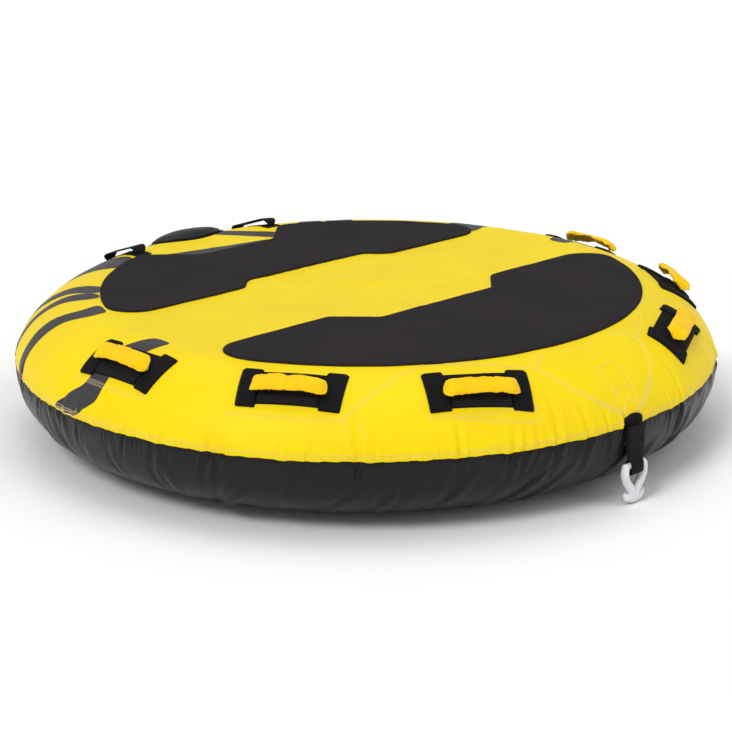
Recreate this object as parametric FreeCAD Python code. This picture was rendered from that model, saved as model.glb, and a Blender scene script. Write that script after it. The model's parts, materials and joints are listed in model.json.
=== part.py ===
import FreeCAD, Part
import math
import os
from FreeCAD import Matrix, Placement, Rotation, Vector

os.makedirs("parts", exist_ok=True)

# Frame: millimetres, +Z up, origin at the centre of the flat underside.
# The tow point is on -Y, the inflation valve on +Y. The tube is mirrored about X = 0.

# Tube form: a flat deck and a flat base joined by rounded walls that meet at the seam
TUBE_RADIUS = 760.0
TUBE_HEIGHT = 295.0
SEAM_HEIGHT = 160.0
DECK_RADIUS = 587.0
BASE_RADIUS = 516.0
SHOULDER_POWER = 1.74
LOWER_WALL_POWER = 2.41
PROFILE_STEPS = 12

# Cover and bladder
COVER_THICKNESS = 1.0
SEAM_TAPE_THICKNESS = 1.5
SEAM_TAPE_HALF_WIDTH = 12.0
BLADDER_INSET = 5.0
BLADDER_THICKNESS = 0.8
WEB_COUNT = 7
WEB_PITCH = 140.0
WEB_THICKNESS = 1.0
WEB_CIRCLE_RADIUS = 470.0

# Deck pads
PAD_THICKNESS = 5.0
FRONT_PAD_RADIUS = 600.0
FRONT_PAD_INNER_EDGE = -147.0
FRONT_PAD_MIDDLE_EDGE = -222.0
FRONT_PAD_MIDDLE_HALF = 165.0
REAR_PAD_RADIUS = 575.0
REAR_PAD_INNER_EDGE = 150.0
REAR_PAD_MIDDLE_EDGE = 194.0
REAR_PAD_MIDDLE_HALF = 180.0
REAR_PAD_NOTCH_EDGE = 440.0
REAR_PAD_NOTCH_HALF = 110.0
PAD_END_ROUND = 66.0
PAD_LOBE_ROUND = 42.0
PAD_JOG_ROUND = 25.0

# Padded handles: azimuth, radius from the axis, turn in the surface, and how far the grip stands
# down the slope from the middle of its patch
HANDLES = {
    "right_side": (183.4, 675.5, 0.0, 6.0),
    "right_middle": (214.9, 671.0, 0.0, 12.0),
    "right_front": (245.1, 683.0, -6.0, 12.0),
    "left_front": (295.5, 688.0, 4.5, 4.0),
    "left_middle": (325.0, 682.5, 0.0, 4.0),
    "left_side": (356.6, 690.0, 0.0, 4.0),
}
PATCH_LENGTH = 207.0
PATCH_WIDTH = 84.0
PATCH_THICKNESS = 1.5
END_BLOCK_LENGTH = 42.0
END_BLOCK_WIDTH = 96.0
END_BLOCK_THICKNESS = 7.0
GUARD_LENGTH = 116.0
GUARD_START = 2.0
GUARD_WIDTH = 36.0
GUARD_THICKNESS = 9.0
GRIP_LENGTH = 152.0
GRIP_FOOT_HEIGHT = 10.0
GRIP_TOP_HEIGHT = 36.0
GRIP_THICKNESS = 16.0
GRIP_HALF_WIDTH = 19.0
GRIP_FOOT_HALF_WIDTH = 6.0
GRIP_CORNER = 24.0
GRIP_TAPER_HEIGHT = 15.0
SLEEVE_THICKNESS = 1.5
GRIP_WEBBING_INSET = 6.75
GRIP_WEBBING_HALF_WIDTH = 12.5
GRIP_WEBBING_FOOT_HALF_WIDTH = 3.5

# Rear webbing straps, which run fore and aft over the shoulder
REAR_STRAP_X = 195.0
REAR_STRAP_Y = 612.0
REAR_PATCH_LENGTH = 160.0
REAR_PATCH_WIDTH = 44.0
REAR_STRAP_LENGTH = 138.0
REAR_STRAP_TOP_HEIGHT = 15.0
REAR_STRAP_FOOT_HEIGHT = -5.8
REAR_STRAP_THICKNESS = 2.5
REAR_STRAP_HALF_WIDTH = 19.0
REAR_STRAP_FOOT_HALF_WIDTH = 6.0
REAR_STRAP_CORNER = 18.0
REAR_STRAP_TAPER_HEIGHT = 12.0

# Inflation valve and its padded cover
VALVE_RADIUS_FROM_CENTRE = 632.0
VALVE_FLANGE_RADIUS = 34.0
VALVE_FLANGE_THICKNESS = 1.5
VALVE_BODY_RADIUS = 20.0
VALVE_BORE_RADIUS = 14.0
VALVE_BODY_DEPTH = 26.0
VALVE_BODY_RISE = 6.0
VALVE_INSERT_RADIUS = 13.9
VALVE_INSERT_INNER_RADIUS = 11.0
VALVE_INSERT_TOP = -6.0
VALVE_INSERT_HEIGHT = 14.0
VALVE_SPOKE_WIDTH = 2.5
VALVE_DIAPHRAGM_THICKNESS = 1.0
VALVE_CAP_RADIUS = 21.0
VALVE_CAP_GAP = 0.5
VALVE_CAP_THICKNESS = 5.0
VALVE_PLUG_RADIUS = 13.5
VALVE_PLUG_DEPTH = 9.0
CAP_RIB_COUNT = 16
CAP_RIB_RADIUS = 1.3
TETHER_OUTER_RADIUS = 24.0
TETHER_THICKNESS = 1.5
TETHER_REST_HEIGHT = 3.0
COVER_HOLE_RADIUS = 30.0
SURROUND_HOLE_RADIUS = 32.0
SURROUND_THICKNESS = 1.5
FLAP_HALF_LENGTH = 106.0
FLAP_HALF_WIDTH = 62.0
FLAP_HEIGHT = 28.0
FLAP_CROSS_RADIUS = 75.0
FLAP_LONG_RADIUS = 215.0
FLAP_REACH = 60.0
OVAL_SIDES = 36
FLAP_PADDING = 8.0
FLAP_GAP = 0.3
SURROUND_MARGIN = 1.0

# Tow point
TOW_TAB_HALF_WIDTH = 24.0
TOW_TAB_RISE = 22.0
TOW_TAB_THICKNESS = 2.0
TOW_ANCHOR_HALF_WIDTH = 30.0
TOW_ANCHOR_THICKNESS = 2.5
TOW_ANCHOR_TOP = 250.0
TOW_ANCHOR_BOTTOM = 173.0
TOW_PIVOT_GAP = 6.0
STRAP_WEBBING_THICKNESS = 2.5
STRAP_HALF_WIDTH = 25.0
STRAP_LOOP_HALF_WIDTH = 18.5
STRAP_TAPER_TOP = 112.0
STRAP_TAPER_BOTTOM = 90.0
STRAP_LOOP_DROP = 11.0
STRAP_BEAD_RADIUS = 3.2
HOOK_BAR_HEIGHT = 80.0
HOOK_BAR_RADIUS = 6.5
HOOK_LOOP_GAP = 0.5
HOOK_HALF_WIDTH = 31.0
HOOK_EYE_HALF_WIDTH = 20.0
HOOK_EYE_SIDE_BOTTOM = 58.0
HOOK_EYE_BOTTOM = 50.0
HOOK_EYE_BOTTOM_HALF_WIDTH = 11.0
HOOK_HALF_THICKNESS = 7.5
HOOK_SHOULDER_BOTTOM = 62.0
HOOK_NECK_HALF_WIDTH = 12.0
HOOK_NECK_HEIGHT = 29.0
HOOK_FOOT_HALF_WIDTH = 22.0
HOOK_FOOT_HALF_THICKNESS = 9.0
HOOK_FOOT_TOP = 22.0
HOOK_FOOT_BOTTOM = 4.0

# Zipper on the rear of the lower cover
ZIPPER_HEIGHT = 112.0
ZIPPER_FROM = 62.0
ZIPPER_TO = 118.0
ZIPPER_SLOT_HALF = 4.0
ZIPPER_TAPE_HALF = 14.0
ZIPPER_TAPE_THICKNESS = 1.0
ZIPPER_COIL_HALF = 3.0
ZIPPER_COIL_RISE = 0.8
SLIDER_AZIMUTH = 64.0
SLIDER_HALF_LENGTH = 7.0
SLIDER_HALF_HEIGHT = 5.0
SLIDER_THICKNESS = 2.6
SLIDER_GAP = 0.3
PULL_HALF_WIDTH = 4.5
PULL_LENGTH = 34.0
PULL_THICKNESS = 2.0

# Drain grommets on the lower wall
GROMMET_AZIMUTHS = (30.0, 70.0, 110.0, 150.0)
GROMMET_HEIGHT = 48.0
GROMMET_HOLE_RADIUS = 5.0
GROMMET_BARREL_RADIUS = 6.2
GROMMET_FLANGE_RADIUS = 9.5
GROMMET_FLANGE_THICKNESS = 1.0

X_AXIS = Vector(1, 0, 0)
Y_AXIS = Vector(0, 1, 0)
Z_AXIS = Vector(0, 0, 1)
ORIGIN = Vector(0, 0, 0)
FAR = 2000.0


def save(name, shape):
    """Write one sub-part."""
    shape.exportStep(f"parts/{name}.step")


def wall_point(upper, angle, offset):
    """A point of the upper or lower wall in the radius-height plane, moved out along its normal."""
    flat_radius = DECK_RADIUS if upper else BASE_RADIUS
    power = SHOULDER_POWER if upper else LOWER_WALL_POWER
    rise = TUBE_HEIGHT - SEAM_HEIGHT if upper else -SEAM_HEIGHT
    width = TUBE_RADIUS - flat_radius
    across = max(math.cos(angle), 0.0) ** (2.0 / power)
    up = math.sin(angle) ** (2.0 / power)
    normal = Vector(across ** (power - 1.0) / width, 0, up ** (power - 1.0) / rise).normalize()
    return Vector(flat_radius + width * across, 0, SEAM_HEIGHT + rise * up) + normal * offset


def wall_curve(upper, offset):
    """The wall's profile, from the flat face to the seam."""
    angles = [math.pi / 2.0 * (1.0 - step / PROFILE_STEPS) for step in range(PROFILE_STEPS + 1)]
    points = [wall_point(upper, angle, offset) for angle in angles]
    down = -Z_AXIS if upper else Z_AXIS
    curve = Part.BSplineCurve()
    curve.interpolate(Points=points, InitialTangent=X_AXIS, FinalTangent=down)
    return curve, points[0], points[-1]


def revolve(edges):
    """Turn a closed outline in the radius-height plane about the tube's axis."""
    return Part.Face(Part.Wire(edges)).revolve(ORIGIN, Z_AXIS, 360.0)


def line(start, end):
    return Part.LineSegment(start, end).toShape()


def half_body(upper, offset):
    """The solid half of the tube above or below the seam, grown by offset."""
    curve, inner, outer = wall_curve(upper, offset)
    axis_top = Vector(0, 0, inner.z)
    axis_seam = Vector(0, 0, SEAM_HEIGHT)
    return revolve([
        line(axis_seam, axis_top), line(axis_top, inner), curve.toShape(), line(outer, axis_seam),
    ])


def half_skin(upper, inner_offset, outer_offset):
    """The layer of one half between two offsets of its surface."""
    outer_curve, outer_flat, outer_seam = wall_curve(upper, outer_offset)
    inner_curve, inner_flat, inner_seam = wall_curve(upper, inner_offset)
    outer_axis = Vector(0, 0, outer_flat.z)
    inner_axis = Vector(0, 0, inner_flat.z)
    return revolve([
        line(outer_axis, outer_flat), outer_curve.toShape(), line(outer_seam, inner_seam),
        inner_curve.toShape(), line(inner_flat, inner_axis), line(inner_axis, outer_axis),
    ])


def wall_normal(upper, radius=None, height=None):
    """Point and outward normal of the wall, in the radius-height plane, at a radius or a height."""
    low, high = 0.0, math.pi / 2.0
    for _ in range(60):
        middle = (low + high) / 2.0
        point = wall_point(upper, middle, 0.0)
        if radius is not None:
            above = point.x < radius
        else:
            above = (point.z > height) == upper
        low, high = (low, middle) if above else (middle, high)
    point = wall_point(upper, low, 0.0)
    return point, wall_point(upper, low, 1.0) - point


class LocalFrame:
    """Axes on the tube's wall: along the rim, down the slope, and out of the surface."""

    def __init__(self, origin, along, out):
        self.origin = origin
        self.along = along.normalize()
        self.out = out.normalize()
        self.slope = self.out.cross(self.along)

    def matrix(self):
        a, s, n, o = self.along, self.slope, self.out, self.origin
        return Matrix(a.x, s.x, n.x, o.x, a.y, s.y, n.y, o.y, a.z, s.z, n.z, o.z, 0, 0, 0, 1)

    def place(self, shape):
        """Move a shape drawn as (along, slope, out) into the row frame."""
        moved = shape.copy()
        moved.Placement = Placement(self.matrix())
        return moved


def rim_frame(azimuth, point, normal):
    """A frame on the wall at an azimuth, from a point and normal in the radius-height plane."""
    turn = Rotation(Z_AXIS, azimuth)
    along = turn.multVec(-Y_AXIS)
    return LocalFrame(turn.multVec(point), along, turn.multVec(normal))


def centred_box(length, width, height, along=0.0, slope=0.0, out=0.0):
    """A box centred at (along, slope) that spans out - height / 2 to out + height / 2."""
    corner = Vector(along - length / 2.0, slope - width / 2.0, out - height / 2.0)
    return Part.makeBox(length, width, height, corner)


def straight_prism(points, direction):
    """Extrude a closed polygon."""
    wire = Part.makePolygon(points + points[:1])
    return Part.Face(wire).extrude(direction)


def sector(start, end):
    """An upright wedge of the whole tube between two azimuths."""
    points = [ORIGIN] + [
        Vector(FAR * math.cos(math.radians(a)), FAR * math.sin(math.radians(a)), 0) for a in (start, end)
    ]
    return straight_prism(points, Z_AXIS * FAR)


def height_band(low, high):
    """A slab of the whole tube between two heights."""
    return Part.makeBox(2 * FAR, 2 * FAR, high - low, Vector(-FAR, -FAR, low))


def fillet_upright(solid, rules):
    """Round upright edges: each rule is (test of x and y, radius)."""
    for test, radius in rules:
        edges = []
        for edge in solid.Edges:
            ends = [vertex.Point for vertex in edge.Vertexes]
            upright = len(ends) == 2 and math.hypot(ends[0].x - ends[1].x, ends[0].y - ends[1].y) < 1e-6
            if upright and test(abs(ends[0].x), ends[0].y):
                edges.append(edge)
        solid = solid.makeFillet(radius, edges)
    return solid


# Cover, seam, bladder

def lower_wall_frame(azimuth, height):
    point, normal = wall_normal(False, height=height)
    return rim_frame(azimuth, point, normal)


def valve_frame():
    point, normal = wall_normal(True, radius=VALVE_RADIUS_FROM_CENTRE)
    return rim_frame(90.0, point, normal)


def valve_cylinder(radius, low, high):
    """A cylinder on the valve's axis between two heights above the cover."""
    return valve_frame().place(Part.makeCylinder(radius, high - low, Vector(0, 0, low)))


def make_cover_top():
    cover = half_skin(True, -COVER_THICKNESS, 0.0)
    return cover.cut(valve_cylinder(COVER_HOLE_RADIUS, -FLAP_REACH, FLAP_REACH))


def zipper_band(half_height, low, high, inner_offset, outer_offset):
    """A strip of the lower wall along the zipper."""
    band = height_band(ZIPPER_HEIGHT - half_height, ZIPPER_HEIGHT + half_height)
    return half_skin(False, inner_offset, outer_offset).common(band).common(sector(low, high))


def make_cover_bottom():
    cover = half_skin(False, -COVER_THICKNESS, 0.0)
    cover = cover.cut(zipper_band(ZIPPER_SLOT_HALF, ZIPPER_FROM, ZIPPER_TO, -COVER_THICKNESS - 1.0, 1.0))
    for azimuth in GROMMET_AZIMUTHS:
        hole = Part.makeCylinder(GROMMET_BARREL_RADIUS, 4 * GROMMET_BARREL_RADIUS,
                                 Vector(0, 0, -2 * GROMMET_BARREL_RADIUS))
        cover = cover.cut(lower_wall_frame(azimuth, GROMMET_HEIGHT).place(hole))
    return cover


def make_seam_tape():
    halves = [
        half_skin(upper, -COVER_THICKNESS - SEAM_TAPE_THICKNESS, -COVER_THICKNESS) for upper in (True, False)
    ]
    ring = halves[0].fuse(halves[1])
    band = height_band(SEAM_HEIGHT - SEAM_TAPE_HALF_WIDTH, SEAM_HEIGHT + SEAM_TAPE_HALF_WIDTH)
    return ring.common(band).removeSplitter()


def make_bladder():
    outer = half_body(True, -BLADDER_INSET).fuse(half_body(False, -BLADDER_INSET))
    inset = BLADDER_INSET + BLADDER_THICKNESS
    inner = half_body(True, -inset).fuse(half_body(False, -inset))
    bladder = outer.removeSplitter().cut(inner.removeSplitter())
    return bladder.cut(valve_cylinder(VALVE_BODY_RADIUS, -VALVE_BODY_DEPTH, 0.0))


def make_bladder_webs():
    inset = BLADDER_INSET + BLADDER_THICKNESS
    webs = []
    for index in range(WEB_COUNT):
        x = (index - (WEB_COUNT - 1) / 2.0) * WEB_PITCH
        half = math.sqrt(WEB_CIRCLE_RADIUS ** 2 - x ** 2)
        corner = Vector(x - WEB_THICKNESS / 2.0, -half, inset)
        webs.append(Part.makeBox(WEB_THICKNESS, 2 * half, TUBE_HEIGHT - 2 * inset, corner))
    return Part.Compound(webs)


# Deck pads

def pad_on_deck(outline):
    """The layer on the deck under an upright outline."""
    return half_skin(True, 0.0, PAD_THICKNESS).common(outline)


def make_deck_pad_front():
    edge, middle, half = FRONT_PAD_INNER_EDGE, FRONT_PAD_MIDDLE_EDGE, FRONT_PAD_MIDDLE_HALF
    jog = edge - middle
    right = [Vector(half, middle, 0), Vector(half + jog, edge, 0), Vector(FAR, edge, 0), Vector(FAR, -FAR, 0)]
    left = [Vector(-point.x, point.y, 0) for point in reversed(right)]
    outline = straight_prism(right + left, Z_AXIS * FAR)
    outline = outline.common(Part.makeCylinder(FRONT_PAD_RADIUS, FAR))
    outline = fillet_upright(outline, [
        (lambda x, y: x > half + 2 * jog, PAD_END_ROUND),
        (lambda x, y: x < half + jog + 1.0 and y > FRONT_PAD_MIDDLE_EDGE - 1.0, PAD_JOG_ROUND),
    ])
    return pad_on_deck(outline)


def make_deck_pad_rear():
    edge, middle, half = REAR_PAD_INNER_EDGE, REAR_PAD_MIDDLE_EDGE, REAR_PAD_MIDDLE_HALF
    jog = middle - edge
    notch_half, notch = REAR_PAD_NOTCH_HALF, REAR_PAD_NOTCH_EDGE
    rise = FAR - notch
    right = [
        Vector(notch_half, notch, 0), Vector(notch_half + rise, FAR, 0), Vector(2 * FAR, FAR, 0),
        Vector(2 * FAR, edge, 0), Vector(half + jog, edge, 0), Vector(half, middle, 0),
    ]
    left = [Vector(-point.x, point.y, 0) for point in reversed(right)]
    outline = straight_prism(right + left, Z_AXIS * FAR)
    outline = outline.common(Part.makeCylinder(REAR_PAD_RADIUS, FAR))
    outline = fillet_upright(outline, [
        (lambda x, y: x > half + 2 * jog and y < 2 * edge, PAD_END_ROUND),
        (lambda x, y: y > notch + 1.0, PAD_LOBE_ROUND),
        (lambda x, y: x < half + jog + 1.0, PAD_JOG_ROUND),
    ])
    return pad_on_deck(outline)


# Arched straps and grips, drawn as (along, slope, out)

def arch_edges(half_length, top, foot, corner):
    """The line of an arch that stands on two upright legs, in the along-out plane."""
    knee = top - corner
    tangent = corner * (1.0 - math.sqrt(0.5))
    left_foot = Vector(-half_length, 0, foot)
    left_knee = Vector(-half_length, 0, knee)
    left_mid = Vector(-half_length + tangent, 0, top - tangent)
    left_top = Vector(-half_length + corner, 0, top)
    right_foot, right_knee, right_mid, right_top = [
        Vector(-point.x, 0, point.z) for point in (left_foot, left_knee, left_mid, left_top)
    ]
    return [
        line(left_foot, left_knee), Part.Arc(left_knee, left_mid, left_top).toShape(),
        line(left_top, right_top), Part.Arc(right_top, right_mid, right_knee).toShape(),
        line(right_knee, right_foot),
    ]


def arch(length, top, foot, corner, thickness, half_width, foot_half_width, taper):
    """A flat strap bent into an arch, gathered to a narrow foot at each end."""
    outer = arch_edges(length / 2.0, top, foot, corner)
    inner = arch_edges(length / 2.0 - thickness, top - thickness, foot, max(corner - thickness, 1.0))
    left_gap = line(Vector(-length / 2.0, 0, foot), Vector(-length / 2.0 + thickness, 0, foot))
    right_gap = line(Vector(length / 2.0, 0, foot), Vector(length / 2.0 - thickness, 0, foot))
    band = Part.Face(Part.Wire(Part.__sortEdges__(outer + inner + [left_gap, right_gap])))
    band = band.extrude(Y_AXIS * 2 * half_width)
    band.translate(-Y_AXIS * half_width)
    side = [
        (foot_half_width, foot - 1.0), (foot_half_width, foot),
        (half_width, foot + taper), (half_width, top + 1.0),
    ]
    wedge = [Vector(-length, y, z) for y, z in side] + [Vector(-length, -y, z) for y, z in reversed(side)]
    return band.common(straight_prism(wedge, X_AXIS * 2 * length))


def grip_layer(inset, half_width, foot_half_width):
    """One nested layer of a padded grip."""
    return arch(
        GRIP_LENGTH - 2 * inset, GRIP_TOP_HEIGHT - inset, GRIP_FOOT_HEIGHT, GRIP_CORNER - inset,
        GRIP_THICKNESS - 2 * inset, half_width, foot_half_width, GRIP_TAPER_HEIGHT,
    )


def handle_frame(azimuth, radius, turn):
    point, normal = wall_normal(True, radius=radius)
    frame = rim_frame(azimuth, point, normal)
    return LocalFrame(frame.origin, Rotation(frame.out, turn).multVec(frame.along), frame.out)


def surface_piece(frame, footprint, inner_offset, outer_offset):
    """The part of a layer on the upper cover inside a footprint drawn in a local frame."""
    return half_skin(True, inner_offset, outer_offset).common(frame.place(footprint))


def make_handle(name, azimuth, radius, turn, grip_shift):
    frame = handle_frame(azimuth, radius, turn)
    tall = 60.0
    patch = surface_piece(frame, centred_box(PATCH_LENGTH, PATCH_WIDTH, tall), 0.0, PATCH_THICKNESS)
    for side in (-1, 1):
        block_at = side * (PATCH_LENGTH - END_BLOCK_LENGTH) / 2.0
        block = centred_box(END_BLOCK_LENGTH, END_BLOCK_WIDTH, tall, along=block_at)
        patch = patch.fuse(surface_piece(frame, block, 0.0, END_BLOCK_THICKNESS))
    save(f"handle_{name}_patch", patch.removeSplitter())

    guard = centred_box(GUARD_LENGTH, GUARD_WIDTH, tall, slope=GUARD_START + GUARD_WIDTH / 2.0)
    save(f"handle_{name}_knuckle_guard", surface_piece(frame, guard, PATCH_THICKNESS, GUARD_THICKNESS))

    outside = grip_layer(0.0, GRIP_HALF_WIDTH, GRIP_FOOT_HALF_WIDTH)
    padding = grip_layer(SLEEVE_THICKNESS, GRIP_HALF_WIDTH - SLEEVE_THICKNESS,
                         GRIP_FOOT_HALF_WIDTH - 1.0)
    webbing = grip_layer(GRIP_WEBBING_INSET, GRIP_WEBBING_HALF_WIDTH, GRIP_WEBBING_FOOT_HALF_WIDTH)
    layers = {"sleeve": outside.cut(padding), "foam_core": padding.cut(webbing), "webbing": webbing}
    for layer, shape in layers.items():
        shape.translate(Y_AXIS * grip_shift)
        save(f"handle_{name}_{layer}", frame.place(shape))


def rear_strap_frame(side):
    """A frame whose along axis runs aft over the shoulder, beside the valve."""
    radius = math.hypot(REAR_STRAP_X, REAR_STRAP_Y)
    azimuth = math.degrees(math.atan2(REAR_STRAP_Y, side * REAR_STRAP_X))
    point, normal = wall_normal(True, radius=radius)
    rim = rim_frame(azimuth, point, normal)
    aft = Y_AXIS - rim.out * rim.out.dot(Y_AXIS)
    return LocalFrame(rim.origin, aft, rim.out)


def make_rear_strap(name, side):
    frame = rear_strap_frame(side)
    footprint = centred_box(REAR_PATCH_LENGTH, REAR_PATCH_WIDTH, 80.0)
    save(f"rear_strap_{name}_patch", surface_piece(frame, footprint, 0.0, PATCH_THICKNESS))
    strap = arch(
        REAR_STRAP_LENGTH, REAR_STRAP_TOP_HEIGHT, REAR_STRAP_FOOT_HEIGHT, REAR_STRAP_CORNER,
        REAR_STRAP_THICKNESS, REAR_STRAP_HALF_WIDTH, REAR_STRAP_FOOT_HALF_WIDTH, REAR_STRAP_TAPER_HEIGHT,
    )
    save(f"rear_strap_{name}_webbing", frame.place(strap))


# Inflation valve

def make_valve_body():
    frame = valve_frame()
    flange_disc = Part.makeCylinder(VALVE_FLANGE_RADIUS, 60.0, Vector(0, 0, -30.0))
    flange_low = -BLADDER_INSET
    flange = surface_piece(frame, flange_disc, flange_low, flange_low + VALVE_FLANGE_THICKNESS)
    boss = valve_cylinder(VALVE_BODY_RADIUS, -VALVE_BODY_DEPTH, VALVE_BODY_RISE)
    body = boss.fuse(flange)
    return body.cut(valve_cylinder(VALVE_BORE_RADIUS, -VALVE_BODY_DEPTH, VALVE_BODY_RISE))


def make_valve_insert():
    bottom = VALVE_INSERT_TOP - VALVE_INSERT_HEIGHT
    ring = Part.makeCylinder(VALVE_INSERT_RADIUS, VALVE_INSERT_HEIGHT, Vector(0, 0, bottom))
    ring = ring.cut(Part.makeCylinder(VALVE_INSERT_INNER_RADIUS, VALVE_INSERT_HEIGHT, Vector(0, 0, bottom)))
    span = 2 * VALVE_INSERT_INNER_RADIUS + 2.0
    spoke_out = bottom + VALVE_INSERT_HEIGHT / 2.0
    for length, width in ((span, VALVE_SPOKE_WIDTH), (VALVE_SPOKE_WIDTH, span)):
        ring = ring.fuse(centred_box(length, width, VALVE_SPOKE_WIDTH, out=spoke_out))
    return valve_frame().place(ring.removeSplitter())


def make_valve_diaphragm():
    top = VALVE_INSERT_TOP - VALVE_INSERT_HEIGHT
    return valve_cylinder(VALVE_INSERT_INNER_RADIUS + 1.5, top - VALVE_DIAPHRAGM_THICKNESS, top)


def make_valve_cap():
    rest = VALVE_BODY_RISE + VALVE_CAP_GAP
    cap = Part.makeCylinder(VALVE_CAP_RADIUS, VALVE_CAP_THICKNESS, Vector(0, 0, rest))
    plug_foot = Vector(0, 0, rest - VALVE_PLUG_DEPTH)
    cap = cap.fuse(Part.makeCylinder(VALVE_PLUG_RADIUS, VALVE_PLUG_DEPTH, plug_foot))
    for index in range(CAP_RIB_COUNT):
        angle = 2 * math.pi * index / CAP_RIB_COUNT
        foot = Vector(VALVE_CAP_RADIUS * math.cos(angle), VALVE_CAP_RADIUS * math.sin(angle), rest)
        cap = cap.fuse(Part.makeCylinder(CAP_RIB_RADIUS, VALVE_CAP_THICKNESS, foot))
    return valve_frame().place(cap.removeSplitter())


def make_valve_tether():
    ring = valve_cylinder(TETHER_OUTER_RADIUS, TETHER_REST_HEIGHT, TETHER_REST_HEIGHT + TETHER_THICKNESS)
    return ring.cut(valve_cylinder(VALVE_BODY_RADIUS, 0.0, VALVE_BODY_RISE))


def flap_column(half_length, half_width):
    """An oval column over the valve."""
    turns = [2 * math.pi * index / OVAL_SIDES for index in range(OVAL_SIDES)]
    oval = [Vector(half_length * math.cos(t), half_width * math.sin(t), -FLAP_REACH) for t in turns]
    return straight_prism(oval, Z_AXIS * 2 * FLAP_REACH)


def flap_pillow(inset):
    """An oval pillow over the valve, curved along its length and across it."""
    pillow = flap_column(FLAP_HALF_LENGTH - inset, FLAP_HALF_WIDTH - inset)
    for radius, axis in ((FLAP_CROSS_RADIUS, X_AXIS), (FLAP_LONG_RADIUS, Y_AXIS)):
        barrel = Part.makeCylinder(radius - inset, 2 * FLAP_LONG_RADIUS,
                                   Z_AXIS * (FLAP_HEIGHT - radius) - axis * FLAP_LONG_RADIUS, axis)
        pillow = pillow.common(barrel)
    return pillow


def make_valve_surround():
    footprint = flap_column(FLAP_HALF_LENGTH - SURROUND_MARGIN, FLAP_HALF_WIDTH - SURROUND_MARGIN)
    patch = surface_piece(valve_frame(), footprint, 0.0, SURROUND_THICKNESS)
    return patch.cut(valve_cylinder(SURROUND_HOLE_RADIUS, -FLAP_REACH, FLAP_REACH))


def make_valve_cover():
    pillow = valve_frame().place(flap_pillow(0.0)).cut(half_body(True, SURROUND_THICKNESS + FLAP_GAP))
    return pillow.cut(valve_frame().place(flap_pillow(FLAP_PADDING)))


# Tow point

def make_tow_tab():
    straight = Part.makeBox(2 * TOW_TAB_HALF_WIDTH, FAR, TOW_TAB_RISE / 2.0,
                            Vector(-TOW_TAB_HALF_WIDTH, -FAR, SEAM_HEIGHT))
    rounding = Part.Ellipse(ORIGIN, TOW_TAB_HALF_WIDTH, TOW_TAB_RISE / 2.0).toShape()
    rounding = Part.Face(Part.Wire(rounding)).extrude(Z_AXIS * FAR)
    rounding.Placement = Placement(Vector(0, 0, SEAM_HEIGHT + TOW_TAB_RISE / 2.0), Rotation(X_AXIS, 90.0))
    return half_skin(True, 0.0, TOW_TAB_THICKNESS).common(straight.fuse(rounding)).removeSplitter()


def make_tow_anchor():
    width = 2 * TOW_ANCHOR_HALF_WIDTH
    window = Part.makeBox(width, FAR, TOW_ANCHOR_TOP - TOW_ANCHOR_BOTTOM,
                          Vector(-TOW_ANCHOR_HALF_WIDTH, -FAR, TOW_ANCHOR_BOTTOM))
    layer = half_skin(True, -COVER_THICKNESS - TOW_ANCHOR_THICKNESS, -COVER_THICKNESS)
    return layer.common(window)


def across(radius, half_length, y, z):
    """A cylinder along X centred on the middle plane."""
    return Part.makeCylinder(radius, 2 * half_length, Vector(-half_length, y, z), X_AXIS)


def make_tow_strap():
    y = -TUBE_RADIUS - TOW_PIVOT_GAP
    loop_inner = HOOK_BAR_RADIUS + HOOK_LOOP_GAP
    loop_outer = loop_inner + STRAP_WEBBING_THICKNESS
    fold = HOOK_BAR_HEIGHT - STRAP_LOOP_DROP
    half = STRAP_HALF_WIDTH

    def slab(half_thickness, low, high):
        return Part.makeBox(2 * half, 2 * half_thickness, high - low, Vector(-half, y - half_thickness, low))

    strap = across(STRAP_BEAD_RADIUS, half, y, SEAM_HEIGHT).fuse(
        slab(STRAP_WEBBING_THICKNESS, HOOK_BAR_HEIGHT, SEAM_HEIGHT))
    for height in (HOOK_BAR_HEIGHT, fold):
        strap = strap.fuse(across(loop_outer, half, y, height))
    strap = strap.fuse(slab(loop_outer, fold, HOOK_BAR_HEIGHT))
    for height in (HOOK_BAR_HEIGHT, fold):
        strap = strap.cut(across(loop_inner, half, y, height))
    strap = strap.cut(slab(loop_inner, fold, HOOK_BAR_HEIGHT))
    taper = hook_plate([
        (half, SEAM_HEIGHT + half), (half, STRAP_TAPER_TOP),
        (STRAP_LOOP_HALF_WIDTH, STRAP_TAPER_BOTTOM), (STRAP_LOOP_HALF_WIDTH, 0.0),
    ], y, half)
    return strap.common(taper).removeSplitter()


def hook_plate(outline, y, half_thickness):
    """A plate across the middle plane: an (x, z) outline of the right half, mirrored."""
    right = [Vector(x, y - half_thickness, z) for x, z in outline]
    left = [Vector(-x, y - half_thickness, z) for x, z in reversed(outline)]
    return straight_prism(right + left, Y_AXIS * 2 * half_thickness)


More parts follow.
